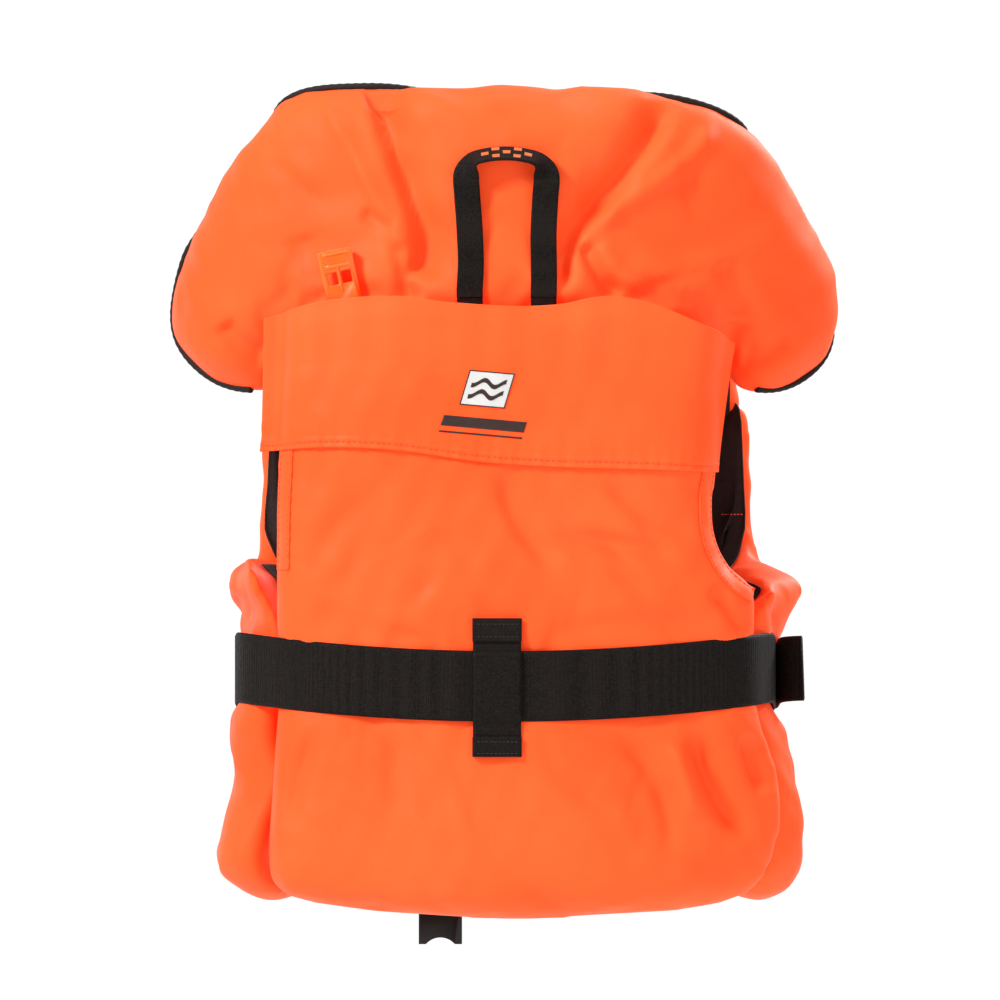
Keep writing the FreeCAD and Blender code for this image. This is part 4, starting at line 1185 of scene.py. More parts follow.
# ---------------------------------------------------------------- cloth laid on the panels
YOKE_TOP = profile([(-137.0, 337.5), (-127.6, 342.8), (-110.0, 350.0), (-85.3, 360.2), (-63.8, 364.8),
                    (-52.0, 364.2), (-31.9, 360.2), (-8.7, 359.0), (31.9, 361.3), (60.9, 364.8),
                    (101.5, 362.5), (144.5, 352.0)])
YOKE_FLOOR = profile([(-126.5, 262.6), (-78.3, 264.2), (-31.9, 265.5), (14.5, 268.6), (60.9, 275.2),
                      (101.5, 277.0), (146.0, 274.5)])


def on_yoke(s, t):
    """Across the yoke (-1 right, +1 left) and up it (0 to 1): its free side edges are slanted."""
    foot = 9.5 + 136.0 * s
    head = 3.5 + 140.5 * s
    x = foot + (head - foot) * t
    z = YOKE_FLOOR(x) + (YOKE_TOP(x) - YOKE_FLOOR(x)) * t
    return on_back(0.0)(x, z)


def level(value):
    """A flat curve at one value, for a patch's straight edge."""
    return lambda at: np.full_like(np.asarray(at, float), value)


def make_yoke(tree):
    """Doubled cloth over the shoulder blades: stitched along its hem, free at its top and sides."""
    def relief(s, t):
        x = s * 135.0
        up = t * YOKE_TALL
        hem = np.exp(-up / 5.0)
        pucker = np.sin(x * 2 * math.pi / 8.5 + 2.2 * np.sin(x / 17.0)) * 0.30 * np.exp(-up / 9.0)
        folded = 0.75 * (up < 6.0)
        line = -0.75 * hump(up, HEM_STITCH, 0.9)
        drape = 1.1 * np.sin(x / 31.0 + 1.4 * t) * np.sin(t * 3.1) + 0.8 * np.sin(x / 57.0 - 2.0 * t)
        top = 1.2 * ease(t, 0.82, 1.0) * np.sin(x / 23.0 + 0.7)
        lean = -1.5 * ease(t, 0.86, 1.0) * np.cos(s * 1.5)
        return pucker + folded + line + drape * ease(t, 0.0, 0.3) + top + lean - 0.2 * hem

    yoke = patch("yoke_cloth", level(0.0), level(1.0), -1.0, 1.0, on_yoke, tree, 0.5, 1.5, COVER, None,
                 cols=240, rows=96, relief=relief, fallback=0.0, smooth_rounds=14, hangs=0.58)
    finish_piece(yoke, COVER, None, ("back_yoke",))
    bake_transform(yoke)
    return yoke


def seam_line(place, tree, u, v, lift):
    """Points on a surface and their outward ways, for a row of stitches."""
    base, way = place(np.asarray(u, float), np.asarray(v, float))
    hit = land(tree, base, way)
    good = ~np.isnan(hit[:, 0])
    return hit[good] + way[good] * lift, way[good]


def make_yoke_stitches(yoke):
    tree = tree_of(yoke)
    s = np.linspace(-0.985, 0.985, 260)
    line, way = seam_line(on_yoke, tree, s, np.full_like(s, HEM_STITCH / YOKE_TALL), 0.0)
    stitches("yoke_stitches", line, way, ORANGE_THREAD, "jacket", slot="cover_cloth")


def make_lining(name, low, high, first, last, place, tree, node):
    """The dark lining that closes a panel on the wearer's side."""
    def relief(u, v):
        points = np.stack([u, v, 0 * u], 1)
        return soft_noise(points, 34.0, 31) * 0.35 + 0.35
    lining = patch(name, low, high, first, last, inward(place), tree, 0.25, 0.8, LINING, "jacket",
                   cols=110, rows=90, relief=relief, fallback=18.0, smooth_rounds=6,
                   replaces=(node,), slot="lining_cloth")


def make_bar_tack(lining):
    """The short orange tack sewn on the dark lining, seen through the right armhole."""
    x = np.linspace(-127.0, -140.0, 40)
    base = np.stack([x, np.full_like(x, -40.0), np.full_like(x, 238.0)], 1)
    way = np.tile([0.0, 1.0, 0.0], (len(x), 1))
    hit = land(tree_of(lining), base, way)
    good = ~np.isnan(hit[:, 0])
    if good.sum() > 4:
        stitches("lining_bar_tack", hit[good] + way[good] * 0.3, way[good], ORANGE_THREAD, "jacket",
                 long=1.6, gap=0.3, radius=0.5, slot="lining_cloth")


def make_facing(edge, name, tree, side):
    """The sewn strip along an armhole's edge."""
    edge_line = curve_through(edge, 160)
    ahead = unit(np.gradient(edge_line, axis=0))
    inner = np.stack([-ahead[:, 1], ahead[:, 0]], 1) * side
    step = np.linspace(0.0, 1.0, len(edge_line))

    def place(u, v):
        x = np.interp(u, step, edge_line[:, 0]) + np.interp(u, step, inner[:, 0]) * v
        z = np.interp(u, step, edge_line[:, 1]) + np.interp(u, step, inner[:, 1]) * v
        return on_back(0.0)(x, z)

    def relief(u, v):
        lip = 0.4 * hump(v, 10.4, 1.0)
        return 0.2 * np.sin(u * 61.0) * (v / 11.0) + lip

    facing = patch(name, level(1.6), level(11.0), 0.0, 1.0, place, tree, 0.2, 0.8, COVER, "jacket",
                   cols=150, rows=14, relief=relief, smooth_rounds=8,
                   replaces=(f"{side_word(side)}_armhole_facing",), slot="cover_cloth")
    over = tree_of(facing)
    for inset, word in ((9.6, "inner"), (2.6, "outer")):
        line, way = seam_line(place, over, step, np.full_like(step, inset), 0.0)
        if len(line) > 4:
            stitches(f"{name}_stitches_{word}", line, way, ORANGE_THREAD, "jacket", slot="cover_cloth")


# ---------------------------------------------------------------- shoulders
ARCH = curve_through([(-81.0, 272.0), (-80.5, 296.0), (-69.0, 315.0), (-47.0, 329.0), (-15.0, 335.5),
                      (22.0, 335.0), (60.0, 332.0)], 300)


def make_shoulder(side, name):
    """The padded strap over one shoulder."""
    ahead = unit(np.gradient(ARCH, axis=0))
    rise = np.stack([-ahead[:, 1], ahead[:, 0]], 1)
    total = line_length(ARCH)
    step = np.linspace(0.0, total, len(ARCH))

    def place(x, v):
        y = np.interp(v, step, ARCH[:, 0])
        z = np.interp(v, step, ARCH[:, 1])
        way_y = np.interp(v, step, rise[:, 0])
        way_z = np.interp(v, step, rise[:, 1])
        flare = 1.0 + 0.08 * (1 - ease(y, -50.0, -10.0)) * ease(x, 80.0, 126.0)
        tuck = 0.0068 * np.maximum(x - 80.0, 0.0) ** 2 * (1 - ease(y, -60.0, 0.0))
        return (np.stack([side * x * flare, y + tuck, z], 1),
                unit(np.stack([0 * x, way_y, way_z], 1)))

    pad = pillow(name, level(0.0), level(total), 61.0, 127.0, place, lambda u, v: 10.5 + 0 * u,
                 lambda u, v: 9.0 + 0 * u, 14.0, cols=50, rows=70, lined=4.0)
    puff(pad, growth=0.02, cap=3.0, voxel=4.5)
    points, ways = points_of(pad), normals_of(pad)
    ripple = soft_noise(points, 26.0, 40 + side) * 0.9 + soft_noise(points, 13.0, 44) * 0.35
    set_points(pad, points + ways * ripple[:, None])
    word = side_word(side)
    finish_piece(pad, COVER, "jacket", (f"{word}_shoulder",))
    lining = patch(f"{word}_shoulder_lining_cloth", level(14.0), level(total - 10.0), 65.0, 122.5,
                   inward(place), tree_of(pad), 0.3, 0.8, LINING, "jacket", cols=30, rows=60,
                   fallback=9.0, smooth_rounds=4, slot="lining_cloth")


def make_neck_seam():
    """Cloth that joins the back panel to the collar behind the wearer's neck."""
    across = np.linspace(-122.0, 122.0, 90)
    rows = 22
    far, near = [], []
    for x in across:
        back_y = BACK_FACE - BACK_BEND + math.sqrt(BACK_BEND ** 2 - x ** 2)
        points, _ = on_collar()(np.array([x]), np.array([372.0]))
        start = np.array([back_y - 34.0, 326.0])
        end = np.array([points[0, 1] - 14.0 - 4.0 * math.cos(x / 60.0), 374.0])
        middle = (start + end) / 2 + np.array([3.0 + 1.2 * math.sin(x / 9.0), 0.0])
        line = curve_through([start, middle, end], rows)
        for y, z in line:
            wave = 0.5 * math.sin(x / 5.0 + z / 9.0)
            far.append((x, y + wave, z))
            near.append((x, y + wave + 1.0, z))
    piece = doubled("neck_seam_cloth", np.array(far), np.array(near), len(across), rows, COVER, None,
                    slot="cover_cloth")
    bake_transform(piece)


# ---------------------------------------------------------------- webbing
def belt_plan(*pads):
    """The taut line a belt takes round the pads, seen from above: their convex hull."""
    points = np.vstack([points_of(pad) for pad in pads])
    band = points[(points[:, 2] > 128.0) & (points[:, 2] < 160.0)][:, :2]
    order = band[np.lexsort((band[:, 1], band[:, 0]))]

    def chain(rows):
        kept = []
        for row in rows:
            while len(kept) > 1:
                a, b = kept[-2], kept[-1]
                if (b[0] - a[0]) * (row[1] - a[1]) - (b[1] - a[1]) * (row[0] - a[0]) > 0:
                    break
                kept.pop()
            kept.append(row)
        return kept[:-1]

    hull = np.array(chain(order) + chain(order[::-1]))
    hull = resample(np.vstack([hull, hull[:1]]), 900)[:-1]
    kernel = np.ones(25) / 25
    wrapped = np.vstack([hull[-30:], hull, hull[:30]])
    soft = np.stack([np.convolve(wrapped[:, k], kernel, "same") for k in (0, 1)], 1)[30:-30]
    ahead = unit(np.roll(soft, -1, 0) - np.roll(soft, 1, 0))
    out = np.stack([ahead[:, 1], -ahead[:, 0]], 1)
    return soft + out * (WEBBING / 2 + 0.2)


def belt_height(x, y):
    """The belt sags a little behind and runs level to the buckle in front."""
    behind = 138.5 + 10.5 * np.minimum(np.abs(x) / 155.0, 1.0) ** 2
    share = ease(-y, -50.0, 62.0)
    return behind * (1 - share) + BELT_LEVEL * share


def weave_ribs(size=0.24, across=41.0):
    """Raised columns across the tape every fourth point, with a small zigzag of threads."""
    def ribs(i, s):
        column = 0.5 + 0.5 * math.cos(2 * math.pi * i / 4.0)
        shift = 0.5 if (i // 4) % 2 else 0.0
        dot = 0.75 + 0.25 * math.cos(2 * math.pi * (s * across / 2 / 3.4 + shift))
        return size * column * dot
    return ribs


def strap(name, line, width, body, thick=WEBBING, pitch=0.6, cross=26, across=None, material=None,
          ribs=None, up=(0.0, 0.0, 1.0), **kind):
    """Webbing along a line of points; its face looks away from `up` crossed with the line."""
    count = max(8, int(line_length(line) / pitch))
    line = resample(np.asarray(line, float), count)
    ahead = unit(np.gradient(line, axis=0))
    if across is None:
        across = np.repeat(np.array([up], float), count, 0)
        across = unit(across - ahead * dots(across, ahead)[:, None])
    out = np.cross(ahead, across)
    return ribbon(name, line, across, out, width, thick, material or WEB, body,
                  ribs=ribs or weave_ribs(across=width), cross=cross, **kind)


def stitch_column(name, x, y, level_z, half, way, body, count=26):
    """A short upright row of black stitches across a webbing."""
    z = np.linspace(level_z - half, level_z + half, count)
    seam = np.stack([np.full_like(z, x), np.full_like(z, y), z], 1)
    stitches(name, seam, np.tile(way, (count, 1)), BLACK_THREAD, body, long=1.8, gap=0.7, slot="webbing")


def round_bar(bar, turn, hand, count):
    """Half a circle round a buckle's bar, seen from above; hand is the side it bulges to."""
    return [(bar[0] + hand * turn * math.sin(a), bar[1] + hand * turn * math.cos(a))
            for a in np.linspace(0.0, math.pi, count)]


def make_belt(plan):
    """The waist belt: from the socket's bar round the wearer's left, behind, and back to the front."""
    front_left = np.argmin(np.hypot(plan[:, 0] - 76.0, plan[:, 1] + 107.0))
    ring = np.roll(plan, -front_left, 0)
    stop = np.argmin(np.hypot(ring[:, 0] + 73.0, ring[:, 1] + 107.0))
    ring = ring[:stop]
    face = ring[0, 1]
    bar = (44.0, -110.9)
    turn = 3.4
    swing = round_bar(bar, turn, -1, 14)
    lead = [(78.0, face - 2.7), (66.0, face - 3.0), (55.0, face - 4.6)]
    under = [(52.0, min(face + 0.2, bar[1] + turn)), (64.0, face)]
    flat = np.vstack([lead, swing, under, ring])
    flat = resample(flat, 1500)
    height = belt_height(flat[:, 0], flat[:, 1])
    line = np.stack([flat[:, 0], flat[:, 1], height], 1)
    strap("waist_belt_webbing", line, BELT_WIDTH, "jacket", replaces=("waist_belt",), slot="webbing")
    for row, (x, proud) in enumerate(((60.0, 4.2), (74.0, 3.95))):
        stitch_column(f"belt_stitches_{row}", x, face - proud, BELT_LEVEL, 16.0, FORWARD, "jacket", 30)


def make_belt_tail(plan):
    """The loose end of the belt, folded back along the wearer's right and standing off at the side."""
    start = np.argmin(np.hypot(plan[:, 0] + 99.0, plan[:, 1] + 104.0))
    ring = np.roll(plan, -start, 0)[::-1]
    ahead = unit(np.gradient(ring, axis=0))
    out = np.stack([-ahead[:, 1], ahead[:, 0]], 1)
    step = distances(ring)
    turned_side = np.nonzero((ring[:, 1] > 6.0) & (step < 240.0))[0]
    keep = np.arange(len(ring)) < turned_side[0]
    line = (ring + out * (WEBBING + 0.5))[keep]
    end = line[-1]
    line = np.vstack([line[:-4:6], [end + np.array([-2.5, 8.0]), end + np.array([-7.5, 15.0]),
                                  end + np.array([-14.0, 19.0])]])
    line = curve_through(line, 400)
    height = belt_height(line[:, 0], line[:, 1]) + 0.4
    points = np.stack([line[:, 0], line[:, 1], height], 1)
    strap("belt_tail_webbing", points, BELT_WIDTH - 3.0, "jacket", replaces=("belt_tail",), slot="webbing")
    for inset in (3.0, 7.0):
        place = np.argmin(np.abs(line[:, 0] + 99.0 + inset))
        stitch_column(f"tail_stitches_{int(inset)}", line[place, 0], line[place, 1] - 1.15, height[place],
                      15.0, (-0.3, -0.95, 0.0), "jacket")


def make_belt_end():
    """The belt's end on the plug: turned round its bar and sewn to itself."""
    bar = (-44.0, -113.15)
    swing = round_bar(bar, 3.1, 1, 12)
    flat = np.vstack([[(-69.0, -111.65), (-58.0, -110.35), (-48.0, -110.05)], swing,
                      [(-50.0, -115.95), (-58.0, -114.55), (-68.0, -113.75), (-76.5, -113.45)]])
    line = resample(flat, 200)
    points = np.stack([line[:, 0], line[:, 1], np.full(len(line), BELT_LEVEL)], 1)
    strap("belt_end_webbing", points, BELT_WIDTH - 1.0, "belt_plug", replaces=("belt_end",), slot="webbing")
    for number, (x, y) in enumerate(((-59.5, -115.4), (-64.5, -114.9))):
        stitch_column(f"belt_end_stitches_{number}", x, y, BELT_LEVEL, 15.0, FORWARD, "belt_plug")


def make_back_loop(tree):
    """The keeper behind: a short webbing strip the belt runs under, its ends folded and sewn."""
    x = 4.6
    z = np.linspace(97.6, 178.0, 120)
    base, way = on_back(0.0)(np.full_like(z, x), z)
    y = averaged(heights(tree, base, way, BACK_FACE), 4)
    y = np.maximum(y, averaged(y, 12)) + 1.3
    line = np.stack([np.full_like(z, x), y, z], 1)
    fringe = weave_ribs(0.22, 28.0)
    strap("keeper_webbing", line, 28.0, "jacket", up=(-1.0, 0.0, 0.0), ribs=fringe, pitch=0.55,
          replaces=("back_belt_loop",), slot="webbing")
    for word, low, high, wide in (("upper", 164.0, 178.4, 28.6), ("lower", 97.0, 109.5, 28.6)):
        part = (z > low) & (z < high)
        end = line[part] + np.array([0.0, 1.9, 0.0])
        strap(f"keeper_fold_{word}", end, wide, "jacket", up=(-1.0, 0.0, 0.0), ribs=fringe, pitch=0.55,
              thick=1.7, slot="webbing")
        for share in (0.22, 0.78):
            row = end[int(share * (len(end) - 1))]
            xs = np.linspace(x - 12.2, x + 12.2, 30)
            seam = np.stack([xs, np.full_like(xs, row[1] + 1.02), np.full_like(xs, row[2])], 1)
            stitches(f"keeper_stitches_{word}_{int(share * 100)}", seam,
                     np.tile([0.0, 1.0, 0.0], (30, 1)), BLACK_THREAD, "jacket", long=1.7, gap=0.6,
                     slot="webbing")


def make_lifting_loop(tree):
    """The lifting loop: two flat legs and a top that twists over, with plain woven blocks."""
    flat = curve_through([(20.4, 364.0), (20.5, 368.0), (19.8, 384.0), (20.8, 408.0), (22.0, 424.0),
                          (22.3, 436.0), (19.0, 443.6), (10.0, 446.6), (0.0, 447.4), (-10.0, 446.6),
                          (-20.0, 443.2), (-23.9, 435.0), (-23.4, 422.0), (-22.4, 402.0),
                          (-22.6, 378.0), (-22.4, 364.0)], 420)
    ahead = unit(np.gradient(flat, axis=0))
    in_plane = np.stack([-ahead[:, 1], ahead[:, 0]], 1)
    centre = np.array([-1.0, 410.0])
    outward = np.sign(dots(in_plane, flat - centre))
    in_plane = in_plane * np.where(outward == 0, 1, outward)[:, None]
    over = ease(flat[:, 1], 431.0, 446.0)
    tilt = np.radians(60.0) * over
    across = np.stack([in_plane[:, 0] * np.cos(tilt), -np.sin(tilt), in_plane[:, 1] * np.cos(tilt)], 1)
    base, way = on_collar(0.0)(flat[:, 0], flat[:, 1])
    y = heights(tree, base, way, 98.0)
    floor = np.interp(flat[:, 1], [350.0, 364.0, 390.0, 440.0], [98.6, 99.8, 102.0, 103.5])
    y = np.maximum(y + 1.8, floor) + 2.0 * over
    line = np.stack([flat[:, 0], averaged(y, 20), flat[:, 1]], 1)
    heading = unit(np.gradient(line, axis=0))
    across = unit(across - heading * dots(across, heading)[:, None])
    out = np.cross(heading, across)
    out = out * np.where(out[:, 1] < 0, -1.0, 1.0)[:, None]

    def ribs(i, s):
        return 0.16 * (0.5 + 0.5 * math.cos(2 * math.pi * i / 3.0))

    ribbon("lifting_loop_webbing", line, across, out, 15.2, 1.7, WEB, "lifting_loop", ribs=ribs, cross=20,
           replaces=("lifting_loop",), slot="webbing")
    for word, end in (("left", line[0]), ("right", line[-1])):
        x, y = end[0], end[1] - 0.5
        foot = np.array([(x, y - 1.4, 353.0), (x, y - 0.2, 357.5), (x, y, 361.0), (x, y, 364.4)])
        strap(f"loop_foot_{word}", foot, 15.0, "collar", thick=1.5, up=(-1.0, 0.0, 0.0), pitch=0.8,
              cross=14, slot="webbing")
    verts, faces = [], []
    middle = len(line) // 2
    for number in range(-2, 3):
        spot = middle + number * 13
        for row in range(-1, 2):
            if (number + row) % 2:
                continue
            start = len(verts)
            for di, ds in ((0, -0.26), (9, -0.26), (9, 0.26), (0, 0.26)):
                i = spot + di - 4
                foot = line[i] + across[i] * (row * 4.1 + ds * 6.6)
                verts.append(foot + out[i] * 1.22)
                verts.append(foot + out[i] * 0.70)
            a = start
            faces += [(a, a + 2, a + 4, a + 6), (a + 1, a + 7, a + 5, a + 3)]
            faces += [(a + k, a + k + 1, a + (k + 3) % 8, a + (k + 2) % 8) for k in (0, 2, 4, 6)]
    blocks = new_piece("loop_woven_blocks", verts, faces, WOVEN_BLOCK, "lifting_loop", slot="webbing",
                       smooth=False)
    face_out(blocks.data, 0.001)


# ---------------------------------------------------------------- hardware
def make_hardware():
    """The moulded and metal pieces: the CAD shapes with rounded edges."""
    softened("belt_socket", "belt_socket_shell", 1.3, 3, BUCKLE, "jacket")
    softened("belt_plug", "belt_plug_body", 0.9, 3, BUCKLE, "belt_plug")
    softened("belt_arm_upper", "belt_plug_arm_upper", 0.7, 2, BUCKLE, "belt_arm_upper")
    softened("belt_arm_lower", "belt_plug_arm_lower", 0.7, 2, BUCKLE, "belt_arm_lower")
    softened("crotch_socket", "crotch_socket_shell", 0.8, 3, BUCKLE, "crotch_buckle",
             carve=((0.038, -0.0223), 0.0112))
    softened("whistle", "whistle_body", 0.7, 3, WHISTLE, "whistle")
    softened("zip_slider", "zip_slider_body", 0.5, 2, ZIP_METAL, "zip_slider")
    softened("zip_pull", "zip_pull_tab", 0.4, 2, ZIP_METAL, "zip_pull")
    softened("zip_retainer", "zip_retainer_box", 0.6, 2, ZIP_PLASTIC, "jacket")
    for node, material in (("zip_tape_left", ZIP_TAPE), ("zip_tape_right", ZIP_TAPE),
                           ("zip_teeth_left", ZIP_PLASTIC), ("zip_teeth_right", ZIP_PLASTIC),
                           ("zip_stops", ZIP_PLASTIC)):
        obj = bpy.data.objects[node]
        for slot in obj.material_slots:
            slot.link = "OBJECT"
            slot.material = material


def make_whistle_fin():
    """The rib between the whistle's windows and the lip round its mouthpiece."""
    lean = math.radians(12.0)
    foot = np.array([91.0, 96.0, 352.5])
    up = np.array([math.sin(lean), 0.0, math.cos(lean)])
    side = np.array([math.cos(lean), 0.0, -math.sin(lean)])
    verts, faces = [], []

    def bar(centre_side, z0, z1, half, y0, y1):
        start = len(verts)
        for z in (z0, z1):
            for s, y in ((-half, y0), (half, y0), (half * 0.6, y1), (-half * 0.6, y1)):
                verts.append(foot + side * (centre_side + s) + up * z + np.array([0.0, y, 0.0]))
        faces.extend(grid_faces(2, 4, start, close_cols=True))
        faces.append((start + 3, start + 2, start + 1, start))
        faces.append((start + 4, start + 5, start + 6, start + 7))

    bar(0.0, 16.0, 31.0, 0.55, -2.0, 0.9)
    bar(0.0, 30.0, 31.6, 8.4, -0.4, 0.7)
    bar(0.0, 37.2, 38.8, 9.0, -0.4, 0.6)
    piece = new_piece("whistle_ribs", verts, faces, WHISTLE, "whistle", slot="whistle_plastic",
                      smooth=False)
    face_out(piece.data)
    bevel = piece.modifiers.new("bevel", "BEVEL")
    bevel.width = 0.2 * MM
    bevel.segments = 2
    apply_modifiers(piece)


def make_grips():
    """Rounded ridges on the buckle's two faces, for the fingers."""
    def ridges(name, body, places, y, low, high, half, tall):
        verts, faces = [], []
        angles = np.linspace(0.0, math.pi, 7)
        for x in places:
            start = len(verts)
            for z, size in ((low, 0.35), (low + 1.0, 1.0), (high - 1.0, 1.0), (high, 0.35)):
                for a in angles:
                    verts.append((x + half * math.cos(a), y - tall * math.sin(a) * size, z))
                verts.append((x - half, y + 0.4, z))
                verts.append((x + half, y + 0.4, z))
            faces += grid_faces(4, 9, start, close_cols=True)
            faces.append(tuple(range(start + 8, start - 1, -1)))
            faces.append(tuple(range(start + 27, start + 36)))
        piece = new_piece(name, verts, faces, BUCKLE, body, slot="buckle_plastic")
        face_out(piece.data, 0.001)

    ridges("plug_grip_ridges", "belt_plug", np.arange(-29.5, -15.0, 2.8), -120.05, 127.0, 155.0, 0.75, 0.6)
    ridges("socket_grip_ridges", "jacket", np.arange(19.0, 32.0, 2.8), -120.65, 127.0, 155.0, 0.75, 0.6)


def make_crotch_tab():
    """A narrow tape turned round the small socket's bar, sewn into the hem."""
    line = [(-87.4, 25.0), (-87.4, 12.0)]
    line += [(-85.0 - 2.5 * math.cos(a), 9.6 - 2.5 * math.sin(a)) for a in np.linspace(0.0, math.pi, 12)]
    line += [(-82.5, 12.0), (-82.5, 25.0)]
    flat = np.array(line)
    points = np.stack([np.full(len(flat), 38.0), flat[:, 0], flat[:, 1]], 1)
    tab = strap("crotch_tab_webbing", points, 20.0, None, thick=1.3, up=(1.0, 0.0, 0.0), pitch=0.5,
                cross=18, replaces=("crotch_tab",), slot="webbing")
    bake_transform(tab)


def make_reflector(side, name, tree):
    """A silver patch on the chest with a stitched edge."""
    place = on_front(side, 0.0)
    node = f"{side_word(side)}_reflector"
    piece = patch(name, level(232.0), level(257.0), 22.0, 68.0, place, tree, 0.15, 0.6, REFLECT, "jacket",
                  cols=60, rows=30, smooth_rounds=4, replaces=(node,), slot="reflective_tape")
    over = tree_of(piece)
    first, last, floor, top = 23.5, 66.5, 233.5, 255.5
    u = np.r_[np.linspace(first, last, 60), np.full(30, last), np.linspace(last, first, 60),
              np.full(31, first)]
    v = np.r_[np.full(60, floor), np.linspace(floor, top, 30), np.full(60, top),
              np.linspace(top, floor, 31)]
    line, way = seam_line(place, over, u, v, 0.0)
    stitches(f"{name}_stitches", line, way, ORANGE_THREAD, "jacket", slot="reflective_tape")


def make_badge(tree):
    """A plain white patch with two wave lines, and two plain dashes under it."""
    def place(u, v):
        return on_back(0.0)(u + 6.0 - (v - 300.0) * 0.3, v + u * 0.09)

    def mark(name, low, high, first, last, lift, thick, material, **kind):
        return patch(name, low, high, first, last, place, tree, lift, thick, material, "jacket",
                     smooth_rounds=3, slot="badge_print", **kind)

    right, left, under, over = -5.8, 20.2, 299.9, 320.2
    base = mark("yoke_badge_patch", level(under), level(over), right, left, 0.1, 0.35, BADGE, cols=40,
                rows=30, replaces=("yoke_badge",))

    def wave(z):
        return lambda u: z + 1.7 * np.sin((np.asarray(u) - right) * 2 * math.pi / 12.5)

    for number, z in enumerate((305.5, 312.0)):
        mark(f"yoke_badge_wave_{number}", wave(z), wave(z + 2.6), -2.4, 16.8, 0.35, 0.3, INK, cols=60,
             rows=6)
    rim = 0.7
    for number, (first, last, floor, top) in enumerate((
            (right, left, under, under + rim), (right, left, over - rim, over),
            (right, right + rim, 300.4, 319.7), (left - rim, left, 300.4, 319.7))):
        mark(f"yoke_badge_edge_{number}", level(floor), level(top), first, last, 0.35, 0.25, INK,
             cols=24, rows=24)
    for number, (first, last, floor, top) in enumerate(((-20.5, 27.0, 287.4, 293.4),
                                                        (-20.5, 27.0, 283.6, 284.6))):
        mark(f"yoke_dash_{number}", level(floor), level(top), first, last, 0.1, 0.25, INK, cols=60,
             rows=6)


# ---------------------------------------------------------------- build
back_pad = make_back_pad()
left_front, front_low, front_high, front_end = make_front_pad(1, "left_front_pad")
right_front, front_low_r, front_high_r, front_end = make_front_pad(-1, "right_front_pad")
make_shoulder(1, "left_shoulder_pad")
make_shoulder(-1, "right_shoulder_pad")
collar_pad = make_collar_pad()
make_collar_piping(collar_pad)

back_tree = tree_of(back_pad)
make_lining("back_lining_cloth", lambda z: BACK_RIGHT(z) + 12.0, lambda z: BACK_LEFT(z) - 12.0, 15.0, 342.0,
            turned(on_back(PANEL_HALF)), back_tree, "back_lining")
for side, word, pad, low_edge, high_edge in ((1, "left", left_front, front_low, front_high),
                                             (-1, "right", right_front, front_low_r, front_high_r)):
    make_lining(f"{word}_front_lining_cloth", lambda u, f=low_edge: f(u) + 3.0 + 8.0 * ease(u, 2.0, 22.0),
                lambda u, f=high_edge: f(u) - 1.0 - 5.0 * ease(u, 148.0, 168.0), -3.6,
                front_end - 34.0, on_front(side),
                tree_of(pad), f"{word}_front_lining")
    make_reflector(side, f"{word}_reflector_patch", tree_of(pad))
make_bar_tack(bpy.data.objects["right_front_lining_cloth"])

make_facing([(-150.0, 196.6), (-141.5, 201.0), (-133.0, 210.0), (-126.0, 224.0), (-123.6, 246.0),
             (-126.0, 266.0)], "right_armhole_facing_cloth", back_tree, -1)
make_facing([(136.3, 206.0), (136.0, 225.0), (135.2, 250.0), (134.2, 281.0)],
            "left_armhole_facing_cloth", back_tree, 1)
yoke = make_yoke(back_tree)
make_yoke_stitches(yoke)
make_badge(tree_of(yoke))
make_neck_seam()

plan = belt_plan(back_pad, left_front, right_front)
make_belt(plan)
make_belt_tail(plan)
make_belt_end()
make_back_loop(tree_of(back_pad, bpy.data.objects["waist_belt_webbing"]))
make_lifting_loop(tree_of(collar_pad))
make_hardware()
make_whistle_fin()
make_grips()
make_crotch_tab()


# ---------------------------------------------------------------- stage
def by_ray(tree, socket, lit, seen):
    """Sets a strength to `seen` for the camera's own rays and to `lit` for all others."""
    path = tree.nodes.new("ShaderNodeLightPath")
    share = tree.nodes.new("ShaderNodeMapRange")
    share.inputs["To Min"].default_value = lit
    share.inputs["To Max"].default_value = seen
    tree.links.new(path.outputs["Is Camera Ray"], share.inputs["Value"])
    tree.links.new(share.outputs["Result"], socket)


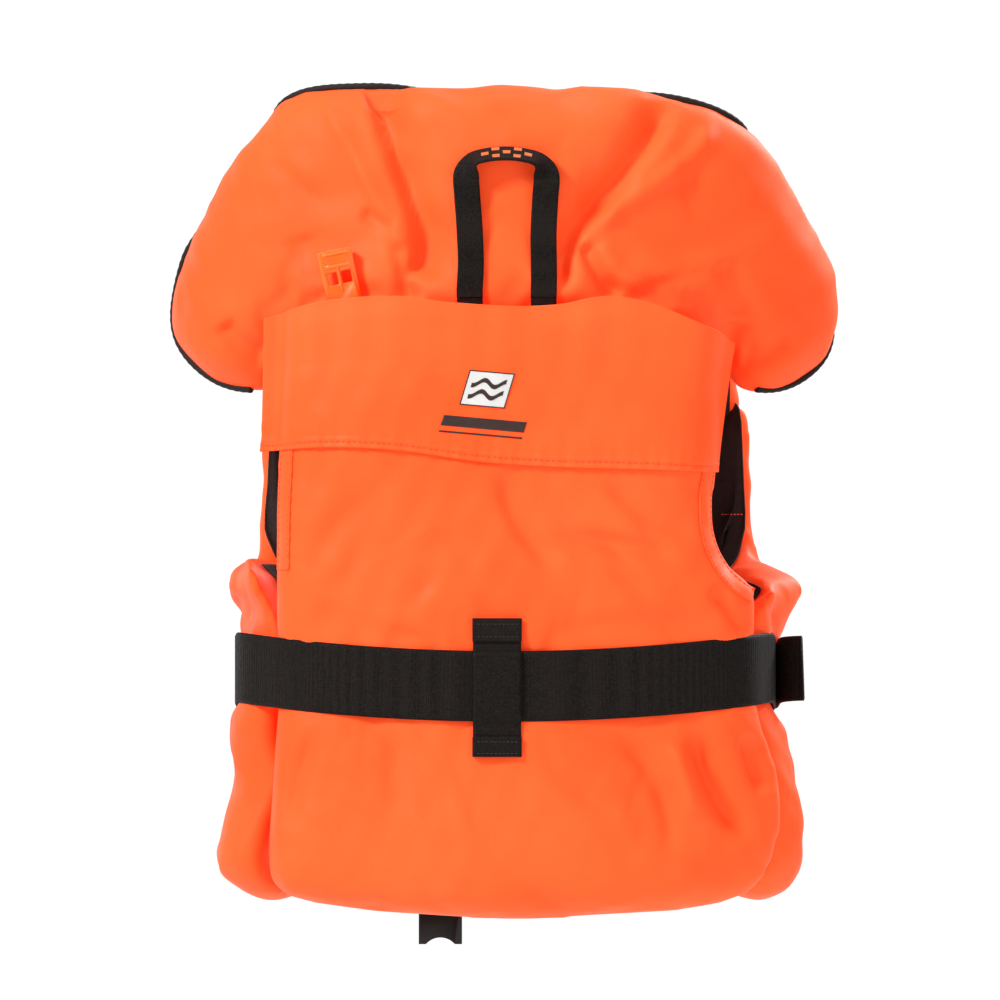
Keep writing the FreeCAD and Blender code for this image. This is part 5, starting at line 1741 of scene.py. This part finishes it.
def make_stage():
    """Pale floor well below, soft lights, and the camera square on to the back."""
    mesh = bpy.data.meshes.new("floor")
    floor_z, reach = -0.30, 60.0
    mesh.from_pydata([(-reach, -reach, floor_z), (reach, -reach, floor_z), (reach, reach, floor_z),
                      (-reach, reach, floor_z)], [], [(0, 1, 2, 3)])
    floor = add_object("floor", mesh)
    pale = bpy.data.materials.new("floor_paper")
    pale.use_nodes = True
    paper = pale.node_tree.nodes["Principled BSDF"].inputs
    paper["Base Color"].default_value = (0.75, 0.75, 0.75, 1)
    paper["Roughness"].default_value = 0.95
    paper["Emission Color"].default_value = (1, 1, 1, 1)
    by_ray(pale.node_tree, paper["Emission Strength"], 0.12, 0.80)
    mesh.materials.append(pale)
    world = bpy.data.worlds.new("studio")
    bpy.context.scene.world = world
    world.use_nodes = True
    glow = world.node_tree.nodes["Background"]
    glow.inputs["Color"].default_value = (1.0, 1.0, 1.0, 1.0)
    by_ray(world.node_tree, glow.inputs["Strength"], 0.30, 1.05)
    for name, place, power, wide in (
        ("key", (1.7, 1.5, 1.7), 58.0, 0.6),
        ("fill", (-1.6, 2.2, 0.6), 10.0, 1.2),
        ("top", (-0.3, 0.0, 2.2), 16.0, 1.0),
        ("front_key", (-1.5, -1.7, 1.6), 54.0, 0.6),
        ("front_fill", (1.6, -2.0, 0.5), 10.0, 1.2),
    ):
        light = bpy.data.lights.new(name, "AREA")
        light.energy = power
        light.size = wide
        lamp = add_object(name, light)
        lamp.location = place
        aim = Vector((0.0, 0.0, 0.25)) - Vector(place)
        lamp.rotation_euler = aim.to_track_quat("-Z", "Y").to_euler()
    camera = bpy.data.cameras.new("camera")
    sensor, span, back_plane, far, eye_level = 36.0, 0.58, 0.10, 12.0, 0.2465
    camera.sensor_width = sensor
    camera.lens = sensor * far / span
    eye = add_object("camera", camera)
    eye.location = (0.0029, back_plane + far, eye_level)
    eye.rotation_euler = (math.pi / 2, 0.0, math.pi)
    bpy.context.scene.camera = eye
    bpy.context.scene.view_settings.view_transform = "Standard"


make_stage()
